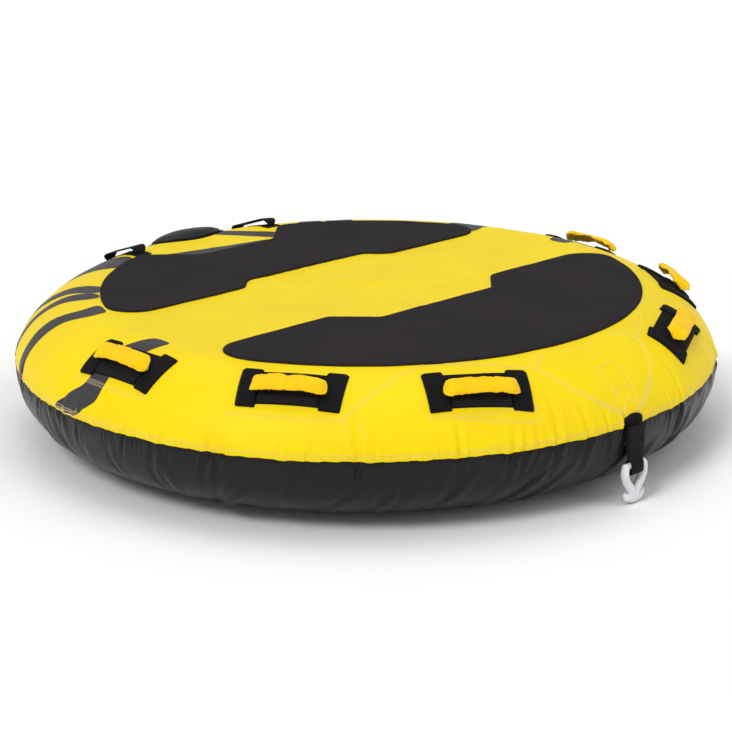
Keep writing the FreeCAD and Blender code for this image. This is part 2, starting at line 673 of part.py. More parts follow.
def make_tow_hook():
    y = -TUBE_RADIUS - TOW_PIVOT_GAP
    body = hook_plate([
        (HOOK_HALF_WIDTH, HOOK_BAR_HEIGHT), (HOOK_HALF_WIDTH, HOOK_SHOULDER_BOTTOM),
        (HOOK_NECK_HALF_WIDTH, HOOK_NECK_HEIGHT), (HOOK_NECK_HALF_WIDTH, HOOK_FOOT_BOTTOM + 6.0),
    ], y, HOOK_HALF_THICKNESS)
    eye = hook_plate([
        (HOOK_EYE_HALF_WIDTH, HOOK_BAR_HEIGHT + 1.0), (HOOK_EYE_HALF_WIDTH, HOOK_EYE_SIDE_BOTTOM),
        (HOOK_EYE_BOTTOM_HALF_WIDTH, HOOK_EYE_BOTTOM),
    ], y, 2 * HOOK_HALF_THICKNESS)
    body = body.cut(eye)
    arm_half = (HOOK_HALF_WIDTH - HOOK_EYE_HALF_WIDTH) / 2.0
    for side in (-1, 1):
        shoulder = across(HOOK_HALF_THICKNESS, arm_half, y, HOOK_BAR_HEIGHT)
        shoulder.translate(X_AXIS * side * (HOOK_HALF_WIDTH - arm_half))
        body = body.fuse(shoulder)
    bar = across(HOOK_BAR_RADIUS, HOOK_EYE_HALF_WIDTH + 1.0, y, HOOK_BAR_HEIGHT)
    foot_height = HOOK_FOOT_TOP - HOOK_FOOT_BOTTOM
    foot = Part.makeBox(2 * HOOK_FOOT_HALF_WIDTH, 2 * HOOK_FOOT_HALF_THICKNESS, foot_height,
                        Vector(-HOOK_FOOT_HALF_WIDTH, y - HOOK_FOOT_HALF_THICKNESS, HOOK_FOOT_BOTTOM))
    foot = foot.makeFillet(HOOK_FOOT_HALF_THICKNESS - 1.5, foot.Edges)
    return body.fuse(bar).fuse(foot).removeSplitter()


# Zipper and grommets

def slider_frame():
    return lower_wall_frame(SLIDER_AZIMUTH, ZIPPER_HEIGHT)


def make_zipper_tape():
    edge = 1.0
    inner = -COVER_THICKNESS - ZIPPER_TAPE_THICKNESS
    return zipper_band(ZIPPER_TAPE_HALF, ZIPPER_FROM - edge, ZIPPER_TO + edge, inner, -COVER_THICKNESS)


def make_zipper_coil():
    return zipper_band(ZIPPER_COIL_HALF, ZIPPER_FROM, ZIPPER_TO, -COVER_THICKNESS, ZIPPER_COIL_RISE)


def make_zipper_slider():
    frame = slider_frame()
    low = ZIPPER_COIL_RISE + SLIDER_GAP
    plate = centred_box(2 * SLIDER_HALF_LENGTH, 2 * SLIDER_HALF_HEIGHT, 40.0)
    slider = half_skin(False, low, low + SLIDER_THICKNESS).common(frame.place(plate))
    top = low + SLIDER_THICKNESS
    ear_gap = PULL_HALF_WIDTH + SLIDER_GAP
    for side in (-1, 1):
        ear = centred_box(1.4, 5.0, 5.0, along=side * (ear_gap + 0.7), out=top + 2.0)
        slider = slider.fuse(frame.place(ear))
    pin = Part.makeCylinder(0.8, 2 * ear_gap + 2.0, Vector(-ear_gap - 1.0, 0, top + 2.6), X_AXIS)
    return slider.fuse(frame.place(pin)).removeSplitter()


def pull_pin_height():
    return ZIPPER_COIL_RISE + SLIDER_GAP + SLIDER_THICKNESS + 2.6


def make_zipper_pull():
    height = pull_pin_height()
    tab = centred_box(2 * PULL_HALF_WIDTH, PULL_LENGTH, PULL_THICKNESS, slope=PULL_LENGTH / 2.0, out=height)
    knuckle = Part.makeCylinder(1.8, 2 * PULL_HALF_WIDTH, Vector(-PULL_HALF_WIDTH, 0, height), X_AXIS)
    bore = Part.makeCylinder(0.95, 2 * PULL_HALF_WIDTH, Vector(-PULL_HALF_WIDTH, 0, height), X_AXIS)
    return slider_frame().place(tab.fuse(knuckle).cut(bore))


def make_drain_grommets():
    grommets = []
    for azimuth in GROMMET_AZIMUTHS:
        frame = lower_wall_frame(azimuth, GROMMET_HEIGHT)
        disc = frame.place(Part.makeCylinder(GROMMET_FLANGE_RADIUS, 12.0, Vector(0, 0, -6.0)))
        barrel = frame.place(Part.makeCylinder(GROMMET_BARREL_RADIUS, 12.0, Vector(0, 0, -6.0)))
        hole = frame.place(Part.makeCylinder(GROMMET_HOLE_RADIUS, 14.0, Vector(0, 0, -7.0)))
        flange = half_skin(False, 0.0, GROMMET_FLANGE_THICKNESS).common(disc)
        throat = half_skin(False, -COVER_THICKNESS - 0.5, 0.0).common(barrel)
        grommets.append(flange.fuse(throat).cut(hole).removeSplitter())
    return Part.Compound(grommets)


SINGLE_PARTS = {
    "cover_top": make_cover_top,
    "cover_bottom": make_cover_bottom,
    "seam_tape": make_seam_tape,
    "bladder": make_bladder,
    "bladder_webs": make_bladder_webs,
    "deck_pad_front": make_deck_pad_front,
    "deck_pad_rear": make_deck_pad_rear,
    "valve_body": make_valve_body,
    "valve_insert": make_valve_insert,
    "valve_diaphragm": make_valve_diaphragm,
    "valve_cap": make_valve_cap,
    "valve_tether": make_valve_tether,
    "valve_surround": make_valve_surround,
    "valve_cover": make_valve_cover,
    "tow_tab": make_tow_tab,
    "tow_anchor_webbing": make_tow_anchor,
    "tow_strap": make_tow_strap,
    "tow_hook": make_tow_hook,
    "zipper_tape": make_zipper_tape,
    "zipper_coil": make_zipper_coil,
    "zipper_slider": make_zipper_slider,
    "zipper_pull": make_zipper_pull,
    "drain_grommets": make_drain_grommets,
}

for part_name, maker in SINGLE_PARTS.items():
    save(part_name, maker())

for handle_name, placing in HANDLES.items():
    make_handle(handle_name, *placing)

make_rear_strap("right", -1)
make_rear_strap("left", 1)
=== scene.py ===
import json
import math
import random

import bpy
import numpy as np
from mathutils import Matrix, Vector
from mathutils.geometry import delaunay_2d_cdt


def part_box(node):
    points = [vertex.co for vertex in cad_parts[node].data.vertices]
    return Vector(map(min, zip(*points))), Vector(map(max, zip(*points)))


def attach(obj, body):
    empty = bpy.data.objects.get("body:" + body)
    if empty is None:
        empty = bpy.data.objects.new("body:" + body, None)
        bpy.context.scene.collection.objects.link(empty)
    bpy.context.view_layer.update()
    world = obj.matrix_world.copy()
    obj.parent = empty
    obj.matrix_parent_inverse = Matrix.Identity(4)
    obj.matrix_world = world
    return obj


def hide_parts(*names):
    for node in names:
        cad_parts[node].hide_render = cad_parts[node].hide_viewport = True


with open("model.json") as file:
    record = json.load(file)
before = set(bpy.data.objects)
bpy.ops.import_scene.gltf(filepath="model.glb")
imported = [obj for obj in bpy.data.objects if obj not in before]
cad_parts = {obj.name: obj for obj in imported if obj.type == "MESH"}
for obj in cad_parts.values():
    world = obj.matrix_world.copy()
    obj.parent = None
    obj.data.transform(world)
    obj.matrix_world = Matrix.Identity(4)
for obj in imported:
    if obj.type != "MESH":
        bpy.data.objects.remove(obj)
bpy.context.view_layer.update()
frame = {"nodes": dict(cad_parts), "record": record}

# The towable tube's looks, in metres, in the row frame: +Z up, tow point on -Y, valve on +Y.
# "Developed" means laid out flat: polar coordinates about the tube's axis, with the distance
# measured along the cloth from the centre of the deck, over the shoulder and down to the seam.

# Tube form, as in the CAD
COVER_LOW, COVER_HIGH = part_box("cover_top")
TUBE_RADIUS = COVER_HIGH.x
TUBE_HEIGHT = COVER_HIGH.z
SEAM_HEIGHT = COVER_LOW.z
DECK_RADIUS = 0.587
BASE_RADIUS = 0.516
SHOULDER_POWER = 1.74
LOWER_WALL_POWER = 2.41
PROFILE_SAMPLES = 3001

# Cover meshes
COVER_COLUMNS = 1440
WALL_RING_SPACING = 0.0032
DECK_RINGS = 22
BASE_RINGS = 8
DEEPEST_CREASE = 0.0038
LUMP_HEIGHT = 0.00016
LUMP_MARGIN = 0.05
SEAM_DIP = 0.0012
SEAM_DIP_REACH = 0.004
SEAM_SWAY = 0.0005
SEAM_SWAY_REACH = 0.02

REAR_AZIMUTH = 90.0
VALVE_RADIUS = 0.632
MM_PER_METRE = 1000

# Handles: azimuth, radius from the axis, turn in the surface, and the grip's shift down the slope
HANDLES = {
    "right_side": (183.4, 0.6755, 0.0, 0.006),
    "right_middle": (214.9, 0.6710, 0.0, 0.012),
    "right_front": (245.1, 0.6830, -6.0, 0.012),
    "left_front": (295.5, 0.6880, 4.5, 0.004),
    "left_middle": (325.0, 0.6825, 0.0, 0.004),
    "left_side": (356.6, 0.6900, 0.0, 0.004),
}


# ------------------------------------------------------------------ the tube's surface

class Wall:
    """One half of the tube: its profile by arc length from the axis, out to the seam."""

    def __init__(self, flat_radius, flat_height, power):
        angle = np.linspace(math.pi / 2, 0, PROFILE_SAMPLES)
        across = np.cos(angle).clip(0) ** (2 / power)
        up = np.sin(angle) ** (2 / power)
        width = TUBE_RADIUS - flat_radius
        rise = flat_height - SEAM_HEIGHT
        normal_out = across ** (power - 1) / width
        normal_up = up ** (power - 1) / rise
        length = np.hypot(normal_out, normal_up)
        self.radius = np.append(0, flat_radius + width * across)
        self.height = np.append(flat_height, SEAM_HEIGHT + rise * up)
        self.out = np.append(0, normal_out / length)
        self.up = np.append(math.copysign(1, rise), normal_up / length)
        steps = np.hypot(np.diff(self.radius), np.diff(self.height))
        self.arc = np.append(0, np.cumsum(steps))
        self.flat_arc = flat_radius
        self.seam_arc = self.arc[-1]

    def at(self, arc):
        """Radius, height and outward normal at arc lengths."""
        return tuple(np.interp(arc, self.arc, values)
                     for values in (self.radius, self.height, self.out, self.up))

    def arc_at_radius(self, radius):
        return float(np.interp(radius, self.radius, self.arc))

    def arc_at_height(self, height):
        order = 1 if self.height[-1] > self.height[0] else -1
        return float(np.interp(height, self.height[1:][::order], self.arc[1:][::order]))


UPPER = Wall(DECK_RADIUS, TUBE_HEIGHT, SHOULDER_POWER)
LOWER = Wall(BASE_RADIUS, 0.0, LOWER_WALL_POWER)


def scattered(count, seed, low, high, **ranges):
    """Rows of random crease values, spread round the tube between two azimuths."""
    dice = random.Random(seed)
    pitch = (high - low) / count
    rows = []
    for index in range(count):
        row = {"azimuth": low + (index + dice.uniform(-0.6, 0.6)) * pitch}
        row.update({key: dice.uniform(*span) for key, span in ranges.items()})
        rows.append(row)
    return rows


# Puckers are gathered at the seam and run up and down from it
PUCKERS = scattered(250, 11, 0, 360, width=(0.0016, 0.0034), depth=(0.0009, 0.0030),
                    up=(0.010, 0.045), lean_up=(-0.25, 0.25), down=(0.012, 0.050), lean_down=(-0.5, 0.3))
PUCKERS += scattered(44, 12, 0, 360, width=(0.003, 0.006), depth=(0.0026, 0.0042),
                     up=(0.05, 0.10), lean_up=(-0.25, 0.25), down=(0.05, 0.11), lean_down=(-0.5, 0.1))
PUCKERS += [
    {"azimuth": azimuth, "width": 0.0052, "depth": 0.0046, "up": reach, "lean_up": lean, "down": 0.10,
     "lean_down": -0.25}
    for azimuth, reach, lean in ((226.4, 0.13, -0.10), (240.2, 0.09, 0.05), (248.3, 0.07, 0.15),
                                 (255.6, 0.12, 0.05), (261.0, 0.10, -0.05), (283.0, 0.09, 0.10),
                                 (305.5, 0.10, 0.0), (204.0, 0.08, 0.1))
]

# Soft folds lie on the slacker lower wall
FOLDS = scattered(58, 21, 0, 360, width=(0.006, 0.012), depth=(0.0024, 0.0046), start=(0.0, 0.05),
                  reach=(0.09, 0.22), lean=(-0.9, 0.25), bend=(-2.0, 2.0))


def wrapped(angle):
    """Degrees brought to the range from -180 to 180."""
    return (angle + 180) % 360 - 180


def pucker_relief(azimuth, below, reach_key, lean_key):
    """Depth of the gathered puckers, at distances below the seam along the cloth."""
    relief = np.zeros_like(azimuth)
    for row in PUCKERS:
        fade = (1 - below / row[reach_key]).clip(0) ** 1.3
        near = np.nonzero((fade > 0) & (np.abs(wrapped(azimuth - row["azimuth"])) < 6))
        if not near[0].size:
            continue
        d = below[near]
        x = np.radians(wrapped(azimuth[near] - row["azimuth"])) * TUBE_RADIUS - row[lean_key] * d
        w = row["width"] * (1 + 6 * d)
        held = 0.35 + 0.65 * (d / 0.008).clip(0, 1)
        shape = 0.65 * np.exp(-((np.abs(x) - 2.2 * w) / (1.2 * w)) ** 2) - np.exp(-(x / w) ** 2)
        relief[near] += row["depth"] * held * fade[near] * shape
    return relief


def fold_relief(azimuth, below):
    """Depth of the soft folds of the lower wall."""
    relief = np.zeros_like(azimuth)
    for row in FOLDS:
        along = ((below - row["start"]) / row["reach"]).clip(0, 1)
        near = np.nonzero((along > 0) & (along < 1) & (np.abs(wrapped(azimuth - row["azimuth"])) < 25))
        if not near[0].size:
            continue
        d = below[near] - row["start"]
        x = np.radians(wrapped(azimuth[near] - row["azimuth"])) * TUBE_RADIUS
        x = x - row["lean"] * d - row["bend"] * d ** 2
        w = row["width"]
        shape = 0.8 * np.exp(-((x - 1.9 * w) / (1.5 * w)) ** 2) - np.exp(-(x / w) ** 2)
        relief[near] += row["depth"] * np.sin(math.pi * along[near]) ** 0.8 * shape
    return relief


def lump_relief(azimuth, arc):
    """Slow waves in the cloth, under a millimetre high."""
    dice = random.Random(31)
    relief = np.zeros_like(azimuth)
    for turns in (3, 5, 7, 11, 17, 23, 31, 43):
        phase, drift = dice.uniform(0, 2 * math.pi), dice.uniform(-60, 60)
        relief += LUMP_HEIGHT * np.sin(turns * np.radians(azimuth) + phase + drift * arc)
    return relief


def zipper_calm(wall, azimuth, arc):
    """1 away from the zipper, 0 on it, where the tape holds the cloth smooth."""
    if wall is UPPER:
        return 1.0
    beside = np.abs(arc - ZIPPER_ARC) / ZIPPER_CALM_REACH
    beyond = (np.abs(wrapped(azimuth - REAR_AZIMUTH)) - ZIPPER_HALF_ANGLE) / ZIPPER_CALM_ANGLE
    return np.maximum(beside, beyond).clip(0, 1)


def cloth_relief(wall, azimuth, arc):
    """How far the cover stands out from the smooth form."""
    azimuth, arc = np.broadcast_arrays(np.asarray(azimuth, float), np.asarray(arc, float))
    below = wall.seam_arc - arc
    if wall is UPPER:
        relief = pucker_relief(azimuth, below, "up", "lean_up")
    else:
        relief = pucker_relief(azimuth, below, "down", "lean_down") + fold_relief(azimuth, below)
        _, height, _, _ = wall.at(arc)
        relief = relief * (height / 0.02).clip(0, 1) ** 2
    off_base = (wall is UPPER) or (arc > BASE_RADIUS + LUMP_MARGIN)
    relief = relief + lump_relief(azimuth, arc) * (below / LUMP_MARGIN).clip(0, 1) * off_base
    relief = relief - SEAM_DIP * np.exp(-(below / SEAM_DIP_REACH) ** 2)
    return relief.clip(-DEEPEST_CREASE, None) * zipper_calm(wall, azimuth, arc)


def seam_wander(azimuth, below):
    """How far the seam line rises and falls."""
    dice = random.Random(41)
    shift = np.zeros_like(below)
    for turns in (9, 21, 34, 55, 89, 144):
        shift = shift + SEAM_SWAY * np.sin(turns * np.radians(azimuth) + dice.uniform(0, 2 * math.pi))
    return shift * np.exp(-below / SEAM_SWAY_REACH)


def on_cover(wall, azimuth, arc, lift=0.0):
    """Points on the wrinkled cover, raised by lift."""
    azimuth, arc = np.broadcast_arrays(np.asarray(azimuth, float), np.asarray(arc, float))
    radius, height, out, up = wall.at(arc)
    raised = lift + cloth_relief(wall, azimuth, arc)
    radius = radius + out * raised
    height = height + up * raised + seam_wander(azimuth, wall.seam_arc - arc)
    turn = np.radians(azimuth)
    return np.stack([radius * np.cos(turn), radius * np.sin(turn), height], axis=-1)


def cover_normal(wall, azimuth, arc):
    """The smooth form's outward normals."""
    _, _, out, up = wall.at(arc)
    turn = np.radians(azimuth)
    return np.stack([out * np.cos(turn), out * np.sin(turn), up + 0 * turn], axis=-1)


def polar(flat):
    """Azimuth in degrees and arc length of developed points."""
    flat = np.asarray(flat, float)
    return np.degrees(np.arctan2(flat[..., 1], flat[..., 0])), np.hypot(flat[..., 0], flat[..., 1])


def laid(flat, lift=0.0):
    """Developed points laid on the upper cover."""
    azimuth, arc = polar(flat)
    return on_cover(UPPER, azimuth, np.minimum(arc, UPPER.seam_arc), lift)


ZIPPER_HEIGHT = 0.112
ZIPPER_ARC = LOWER.arc_at_height(ZIPPER_HEIGHT)
ZIPPER_HALF_ANGLE = 28.0
ZIPPER_CALM_REACH = 0.03
ZIPPER_CALM_ANGLE = 3.0


class Place:
    """A spot on the upper cover with its own axes: along, down the slope, and out."""

    def __init__(self, azimuth, radius, turn=0.0, shift=0.0):
        self.azimuth = math.radians(azimuth)
        self.arc = UPPER.arc_at_radius(radius)
        self.turn = math.radians(turn)
        self.shift = shift

    def flat(self, along, slope):
        """The developed point of a place in this frame."""
        c, s = math.cos(self.turn), math.sin(self.turn)
        rim, reach = along * c - slope * s, self.arc + along * s + slope * c
        c, s = math.cos(self.azimuth), math.sin(self.azimuth)
        return (reach * c + rim * s, reach * s - rim * c)

    def local(self, flat):
        """Along and slope of developed points."""
        c, s = math.cos(self.azimuth), math.sin(self.azimuth)
        reach = flat[:, 0] * c + flat[:, 1] * s - self.arc
        rim = flat[:, 0] * s - flat[:, 1] * c
        c, s = math.cos(self.turn), math.sin(self.turn)
        return rim * c + reach * s, reach * c - rim * s

    def outline(self, corners):
        """A developed outline from (along, slope, rounding) corners."""
        return np.array([self.flat(a, s) for a, s in rounded(corners, steps=4)])

    def matrix(self):
        """Columns along, down the slope, out, and the origin, moved by the shift."""
        radius, height, out, up = (float(value) for value in UPPER.at(self.arc))
        c, s = math.cos(self.azimuth), math.sin(self.azimuth)
        outward = Vector((out * c, out * s, up))
        along = Matrix.Rotation(self.turn, 3, outward) @ Vector((s, -c, 0))
        slope = outward.cross(along)
        origin = Vector((radius * c, radius * s, height)) + slope * self.shift
        return Matrix([(along[i], slope[i], outward[i], origin[i]) for i in range(3)] + [(0, 0, 0, 1)])


# ------------------------------------------------------------------ materials

COVER_WEAVE_PITCH = 0.0011
COVER_WEAVE_DEPTH = 0.00012
SLEEVE_WEAVE_PITCH = 0.0009
FOAM_ROUGHNESS = 0.78
METAL_ROUGHNESS = 0.3
PLASTIC_GRAIN = 220.0
METAL_TARNISH = 160.0
FOAM_CELLS = 520.0
THREAD_TWIST = 900.0


def linear(red, green, blue):
    """A colour given as 8-bit screen values, in linear light."""
    values = []
    for value in (red, green, blue):
        share = value / 255
        values.append(share / 12.92 if share <= 0.04045 else ((share + 0.055) / 1.055) ** 2.4)
    return (*values, 1.0)


class Surface:
    """A principled material and short ways to wire its nodes."""

    def __init__(self, name):
        self.material = bpy.data.materials.new(name)
        self.material.use_nodes = True
        self.tree = self.material.node_tree
        self.shader = self.tree.nodes["Principled BSDF"]

    def set(self, node, **settings):
        for key, value in settings.items():
            socket = node.inputs[key.replace("_", " ")]
            if isinstance(value, bpy.types.NodeSocket):
                self.tree.links.new(value, socket)
            else:
                socket.default_value = value

    def node(self, kind, properties=None, **settings):
        node = self.tree.nodes.new("ShaderNode" + kind)
        for key, value in (properties or {}).items():
            setattr(node, key, value)
        self.set(node, **settings)
        return node

    def coordinates(self, output, scale=(1, 1, 1), rotation=(0, 0, 0)):
        source = self.node("TexCoord").outputs[output]
        return self.node("Mapping", Vector=source, Scale=scale, Rotation=rotation).outputs["Vector"]

    def noise(self, vector, scale, detail=4.0, roughness=0.55):
        node = self.node("TexNoise", Vector=vector, Scale=scale, Detail=detail, Roughness=roughness)
        return node.outputs["Fac"]

    def ramp(self, factor, stops):
        """A colour ramp; stops are (position, colour)."""
        ramp = self.node("ValToRGB", Fac=factor)
        elements = ramp.color_ramp.elements
        elements[0].position, elements[0].color = stops[0]
        elements[1].position, elements[1].color = stops[-1]
        for position, colour in stops[1:-1]:
            elements.new(position).color = colour
        return ramp.outputs["Color"]

    def number(self, operation, *values):
        node = self.node("Math", {"operation": operation})
        for index, value in enumerate(values):
            if isinstance(value, bpy.types.NodeSocket):
                self.tree.links.new(value, node.inputs[index])
            else:
                node.inputs[index].default_value = value
        return node.outputs[0]

    def spread(self, factor, low, high):
        """A factor from 0 to 1 taken to the range from low to high."""
        return self.node("MapRange", Value=factor, To_Min=low, To_Max=high).outputs[0]

    def bump(self, height, distance, strength, normal=None):
        settings = {"Height": height, "Distance": distance, "Strength": strength}
        if normal is not None:
            settings["Normal"] = normal
        return self.node("Bump", **settings).outputs["Normal"]

    def threads(self, vector, pitch):
        """A plain weave: two crossed sets of threads, over and under each other."""
        scale = 1 / pitch / 2
        bands = []
        for direction in ("X", "Y"):
            wave = self.node("TexWave", {"wave_type": "BANDS", "bands_direction": direction}, Vector=vector,
                             Scale=scale / math.pi, Distortion=0.4, Detail_Scale=2.0)
            bands.append(wave.outputs["Fac"])
        checker = self.node("TexChecker", Vector=vector, Scale=1 / pitch).outputs["Fac"]
        one = self.number("MULTIPLY", bands[0], checker)
        other = self.number("MULTIPLY", bands[1], self.number("SUBTRACT", 1.0, checker))
        return self.number("ADD", one, other)


def coated_nylon(name, colour, shadow, gloss=0.36, coordinates="UV", shine=0.24):
    """Coated cover cloth: a fine weave under a satin coating, slightly mottled."""
    s = Surface(name)
    uv = s.coordinates(coordinates)
    broad = s.noise(uv, 6.0, detail=5.0)
    fine = s.noise(uv, 180.0, detail=3.0)
    weave = s.threads(uv, COVER_WEAVE_PITCH)
    tone = s.number("ADD", s.number("MULTIPLY", broad, 0.75), s.number("MULTIPLY", weave, 0.25))
    base = s.ramp(tone, [(0.25, shadow), (0.62, colour)])
    rough = s.spread(s.number("ADD", s.number("MULTIPLY", fine, 0.5), s.number("MULTIPLY", broad, 0.5)),
                     gloss - 0.08, gloss + 0.12)
    crumple = s.bump(s.noise(uv, 42.0, detail=6.0, roughness=0.6), 0.0012, 0.35)
    s.set(s.shader, Base_Color=base, Roughness=rough, Specular_IOR_Level=shine,
          Normal=s.bump(weave, COVER_WEAVE_DEPTH, 0.8, normal=crumple))
    return s.material


def grained_foam(name, colour, light):
    """EVA foam with a fine embossed grain."""
    s = Surface(name)
    uv = s.coordinates("Object")
    voronoi = s.node("TexVoronoi", {"feature": "DISTANCE_TO_EDGE"}, Vector=uv, Scale=FOAM_CELLS)
    cells = voronoi.outputs["Distance"]
    fine = s.noise(uv, 900.0, detail=3.0)
    broad = s.noise(uv, 5.0, detail=6.0)
    base = s.ramp(s.number("ADD", s.number("MULTIPLY", broad, 0.7), s.number("MULTIPLY", fine, 0.3)),
                  [(0.3, colour), (0.7, light)])
    s.set(s.shader, Base_Color=base, Specular_IOR_Level=0.12,
          Roughness=s.spread(fine, FOAM_ROUGHNESS - 0.06, FOAM_ROUGHNESS + 0.1),
          Normal=s.bump(cells, 0.0003, 0.6, normal=s.bump(fine, 0.0002, 0.5)))
    return s.material


def ribbed_webbing(name, colour, light, rib=0.0016, coordinates="UV", rough=0.62):
    """Woven strap: ribs across it and twill along it."""
    s = Surface(name)
    uv = s.coordinates(coordinates)
    ribs = s.node("TexWave", {"wave_type": "BANDS", "bands_direction": "Y"}, Vector=uv,
                  Scale=1 / rib / math.pi / 2, Distortion=0.6, Detail=2.0).outputs["Fac"]
    twill = s.node("TexWave", {"wave_type": "BANDS", "bands_direction": "DIAGONAL"}, Vector=uv,
                   Scale=1 / rib / 2.2, Distortion=0.3).outputs["Fac"]
    fuzz = s.noise(uv, 1400.0, detail=2.0)
    height = s.number("ADD", ribs, s.number("MULTIPLY", twill, 0.4))
    base = s.ramp(s.number("ADD", s.number("MULTIPLY", height, 0.45), s.number("MULTIPLY", fuzz, 0.4)),
                  [(0.2, colour), (0.9, light)])
    s.set(s.shader, Base_Color=base, Roughness=s.spread(fuzz, rough, rough + 0.2), Specular_IOR_Level=0.14,
          Normal=s.bump(height, 0.0004, 0.9))
    return s.material


def brushed_sleeve(name, colour, shadow):
    """Soft woven grip cloth with a slight nap."""
    s = Surface(name)
    uv = s.coordinates("Object")
    broad = s.noise(uv, 35.0, detail=5.0)
    weave = s.threads(uv, SLEEVE_WEAVE_PITCH)
    fuzz = s.noise(uv, 1100.0, detail=2.0)
    tone = s.number("ADD", s.number("MULTIPLY", broad, 0.7), s.number("MULTIPLY", fuzz, 0.3))
    s.set(s.shader, Base_Color=s.ramp(tone, [(0.28, shadow), (0.6, colour)]),
          Roughness=s.spread(fuzz, 0.62, 0.85), Specular_IOR_Level=0.2,
          Sheen_Weight=0.08, Sheen_Roughness=0.45,
          Normal=s.bump(weave, 0.00015, 0.7, normal=s.bump(broad, 0.0008, 0.4)))
    return s.material


def moulded_plastic(name, colour, shadow, rough=0.42, glow=0.0):
    """Moulded plastic with a light pebbled texture."""
    s = Surface(name)
    vector = s.coordinates("Object")
    grain = s.noise(vector, PLASTIC_GRAIN)
    broad = s.noise(vector, 30.0, detail=3.0)
    base = s.ramp(broad, [(0.3, shadow), (0.7, colour)])
    s.set(s.shader, Base_Color=base, Roughness=s.spread(grain, rough - 0.07, rough + 0.12),
          Subsurface_Weight=glow, Subsurface_Scale=0.004, Normal=s.bump(grain, 0.0003, 0.35))
    return s.material


def worn_metal(name, colour, dull):
    """Metal with fine scratches and a patchy tarnish."""
    s = Surface(name)
    vector = s.coordinates("Object")
    patch = s.noise(vector, METAL_TARNISH, detail=5.0)
    scratch = s.noise(s.coordinates("Object", scale=(1, 12, 1)), 900.0, detail=2.0)
    s.set(s.shader, Base_Color=s.ramp(patch, [(0.35, dull), (0.6, colour)]), Metallic=1.0,
          Roughness=s.spread(patch, METAL_ROUGHNESS, METAL_ROUGHNESS + 0.25),
          Normal=s.bump(scratch, 0.0001, 0.4))
    return s.material


def clear_vinyl(name, colour):
    """Bladder film, milky and slightly rippled."""
    s = Surface(name)
    vector = s.coordinates("Object")
    ripple = s.noise(vector, 24.0)
    s.set(s.shader, Base_Color=s.ramp(ripple, [(0.3, colour), (0.7, linear(225, 228, 226))]),
          Roughness=s.spread(ripple, 0.15, 0.35), Transmission_Weight=0.4, Normal=s.bump(ripple, 0.001, 0.3))
    return s.material


def thread(name, colour, shadow):
    """Sewing thread with a twist."""
    s = Surface(name)
    vector = s.coordinates("Object")
    twist = s.node("TexWave", {"wave_type": "BANDS", "bands_direction": "DIAGONAL"}, Vector=vector,
                   Scale=THREAD_TWIST).outputs["Fac"]
    s.set(s.shader, Base_Color=s.ramp(twist, [(0.2, shadow), (0.8, colour)]), Roughness=0.6,
          Normal=s.bump(twist, 0.0001, 0.5))
    return s.material


YELLOW = coated_nylon("nylon_yellow", linear(250, 222, 0), linear(243, 208, 0), gloss=0.42, shine=0.18)
BLACK = coated_nylon("nylon_black", linear(13, 12, 14), linear(7, 6, 7), gloss=0.30, shine=0.26)
STRIPE = coated_nylon("nylon_stripe", linear(64, 61, 65), linear(48, 45, 49), gloss=0.42)
PAD_FOAM = grained_foam("deck_foam", linear(34, 30, 33), linear(42, 37, 41))
PATCH = ribbed_webbing("patch_nylon", linear(11, 10, 11), linear(24, 22, 23), rib=0.0012, rough=0.7)
GUARD = ribbed_webbing("guard_nylon", linear(18, 16, 18), linear(36, 34, 35), rib=0.0010, rough=0.6)
FLAP = coated_nylon("flap_nylon", linear(32, 31, 34), linear(20, 19, 21), gloss=0.34, coordinates="Object")
SLEEVE = brushed_sleeve("sleeve_yellow", linear(255, 210, 2), linear(248, 190, 0))
WEBBING = ribbed_webbing("webbing_black", linear(12, 11, 12), linear(28, 26, 28))
HOOK_PLASTIC = moulded_plastic("hook_plastic", linear(234, 233, 236), linear(218, 216, 221), glow=0.10)
CREAM_THREAD = thread("thread_cream", linear(255, 243, 165), linear(248, 224, 105))
WHITE_THREAD = thread("thread_white", linear(235, 232, 228), linear(180, 176, 172))
BLACK_THREAD = thread("thread_black", linear(48, 45, 47), linear(26, 24, 25))
VALVE_PLASTIC = moulded_plastic("valve_plastic", linear(40, 40, 42), linear(24, 24, 26), rough=0.38)
ZIPPER_PLASTIC = moulded_plastic("zipper_plastic", linear(34, 33, 35), linear(20, 19, 21), rough=0.35)

CAD_FINISHES = {
    "core_foam": grained_foam("core_foam", linear(58, 58, 60), linear(78, 78, 80)),
    "webbing_black": ribbed_webbing("webbing_inner", linear(14, 12, 13), linear(34, 31, 33),
                                    coordinates="Object"),
    "pvc_clear": clear_vinyl("pvc_clear", linear(205, 210, 208)),
    "valve_plastic": VALVE_PLASTIC,
    "valve_rubber": moulded_plastic("valve_rubber", linear(52, 50, 50), linear(34, 32, 32), rough=0.7),
    "zipper_plastic": ZIPPER_PLASTIC,
    "zipper_metal": worn_metal("zipper_metal", linear(196, 196, 192), linear(140, 140, 138)),
    "grommet_brass": worn_metal("grommet_brass", linear(196, 160, 84), linear(140, 108, 56)),
    "nylon_black": coated_nylon("inner_nylon", linear(33, 31, 34), linear(20, 18, 20),
                                coordinates="Object"),
    "patch_nylon": coated_nylon("surround_nylon", linear(30, 28, 30), linear(18, 16, 18),
                                coordinates="Object"),
}


def finish_cad_nodes():
    """Give every CAD node that stays its procedural material, by its slot in the record."""
    for part in frame["record"]["subparts"]:
        finish = CAD_FINISHES.get(part["material_slot"])
        node = frame["nodes"].get(part["node"])
        if finish and node:
            node.data.materials.clear()
            node.data.materials.append(finish)


# ------------------------------------------------------------------ mesh helpers

RUN_STEP = 0.004
CURVE_STEPS = 16
CLOTH_SPACING = 0.005
EDGE_FOOT_SHARE = 0.3      # a plate's edge stands this share of its height, then rounds over


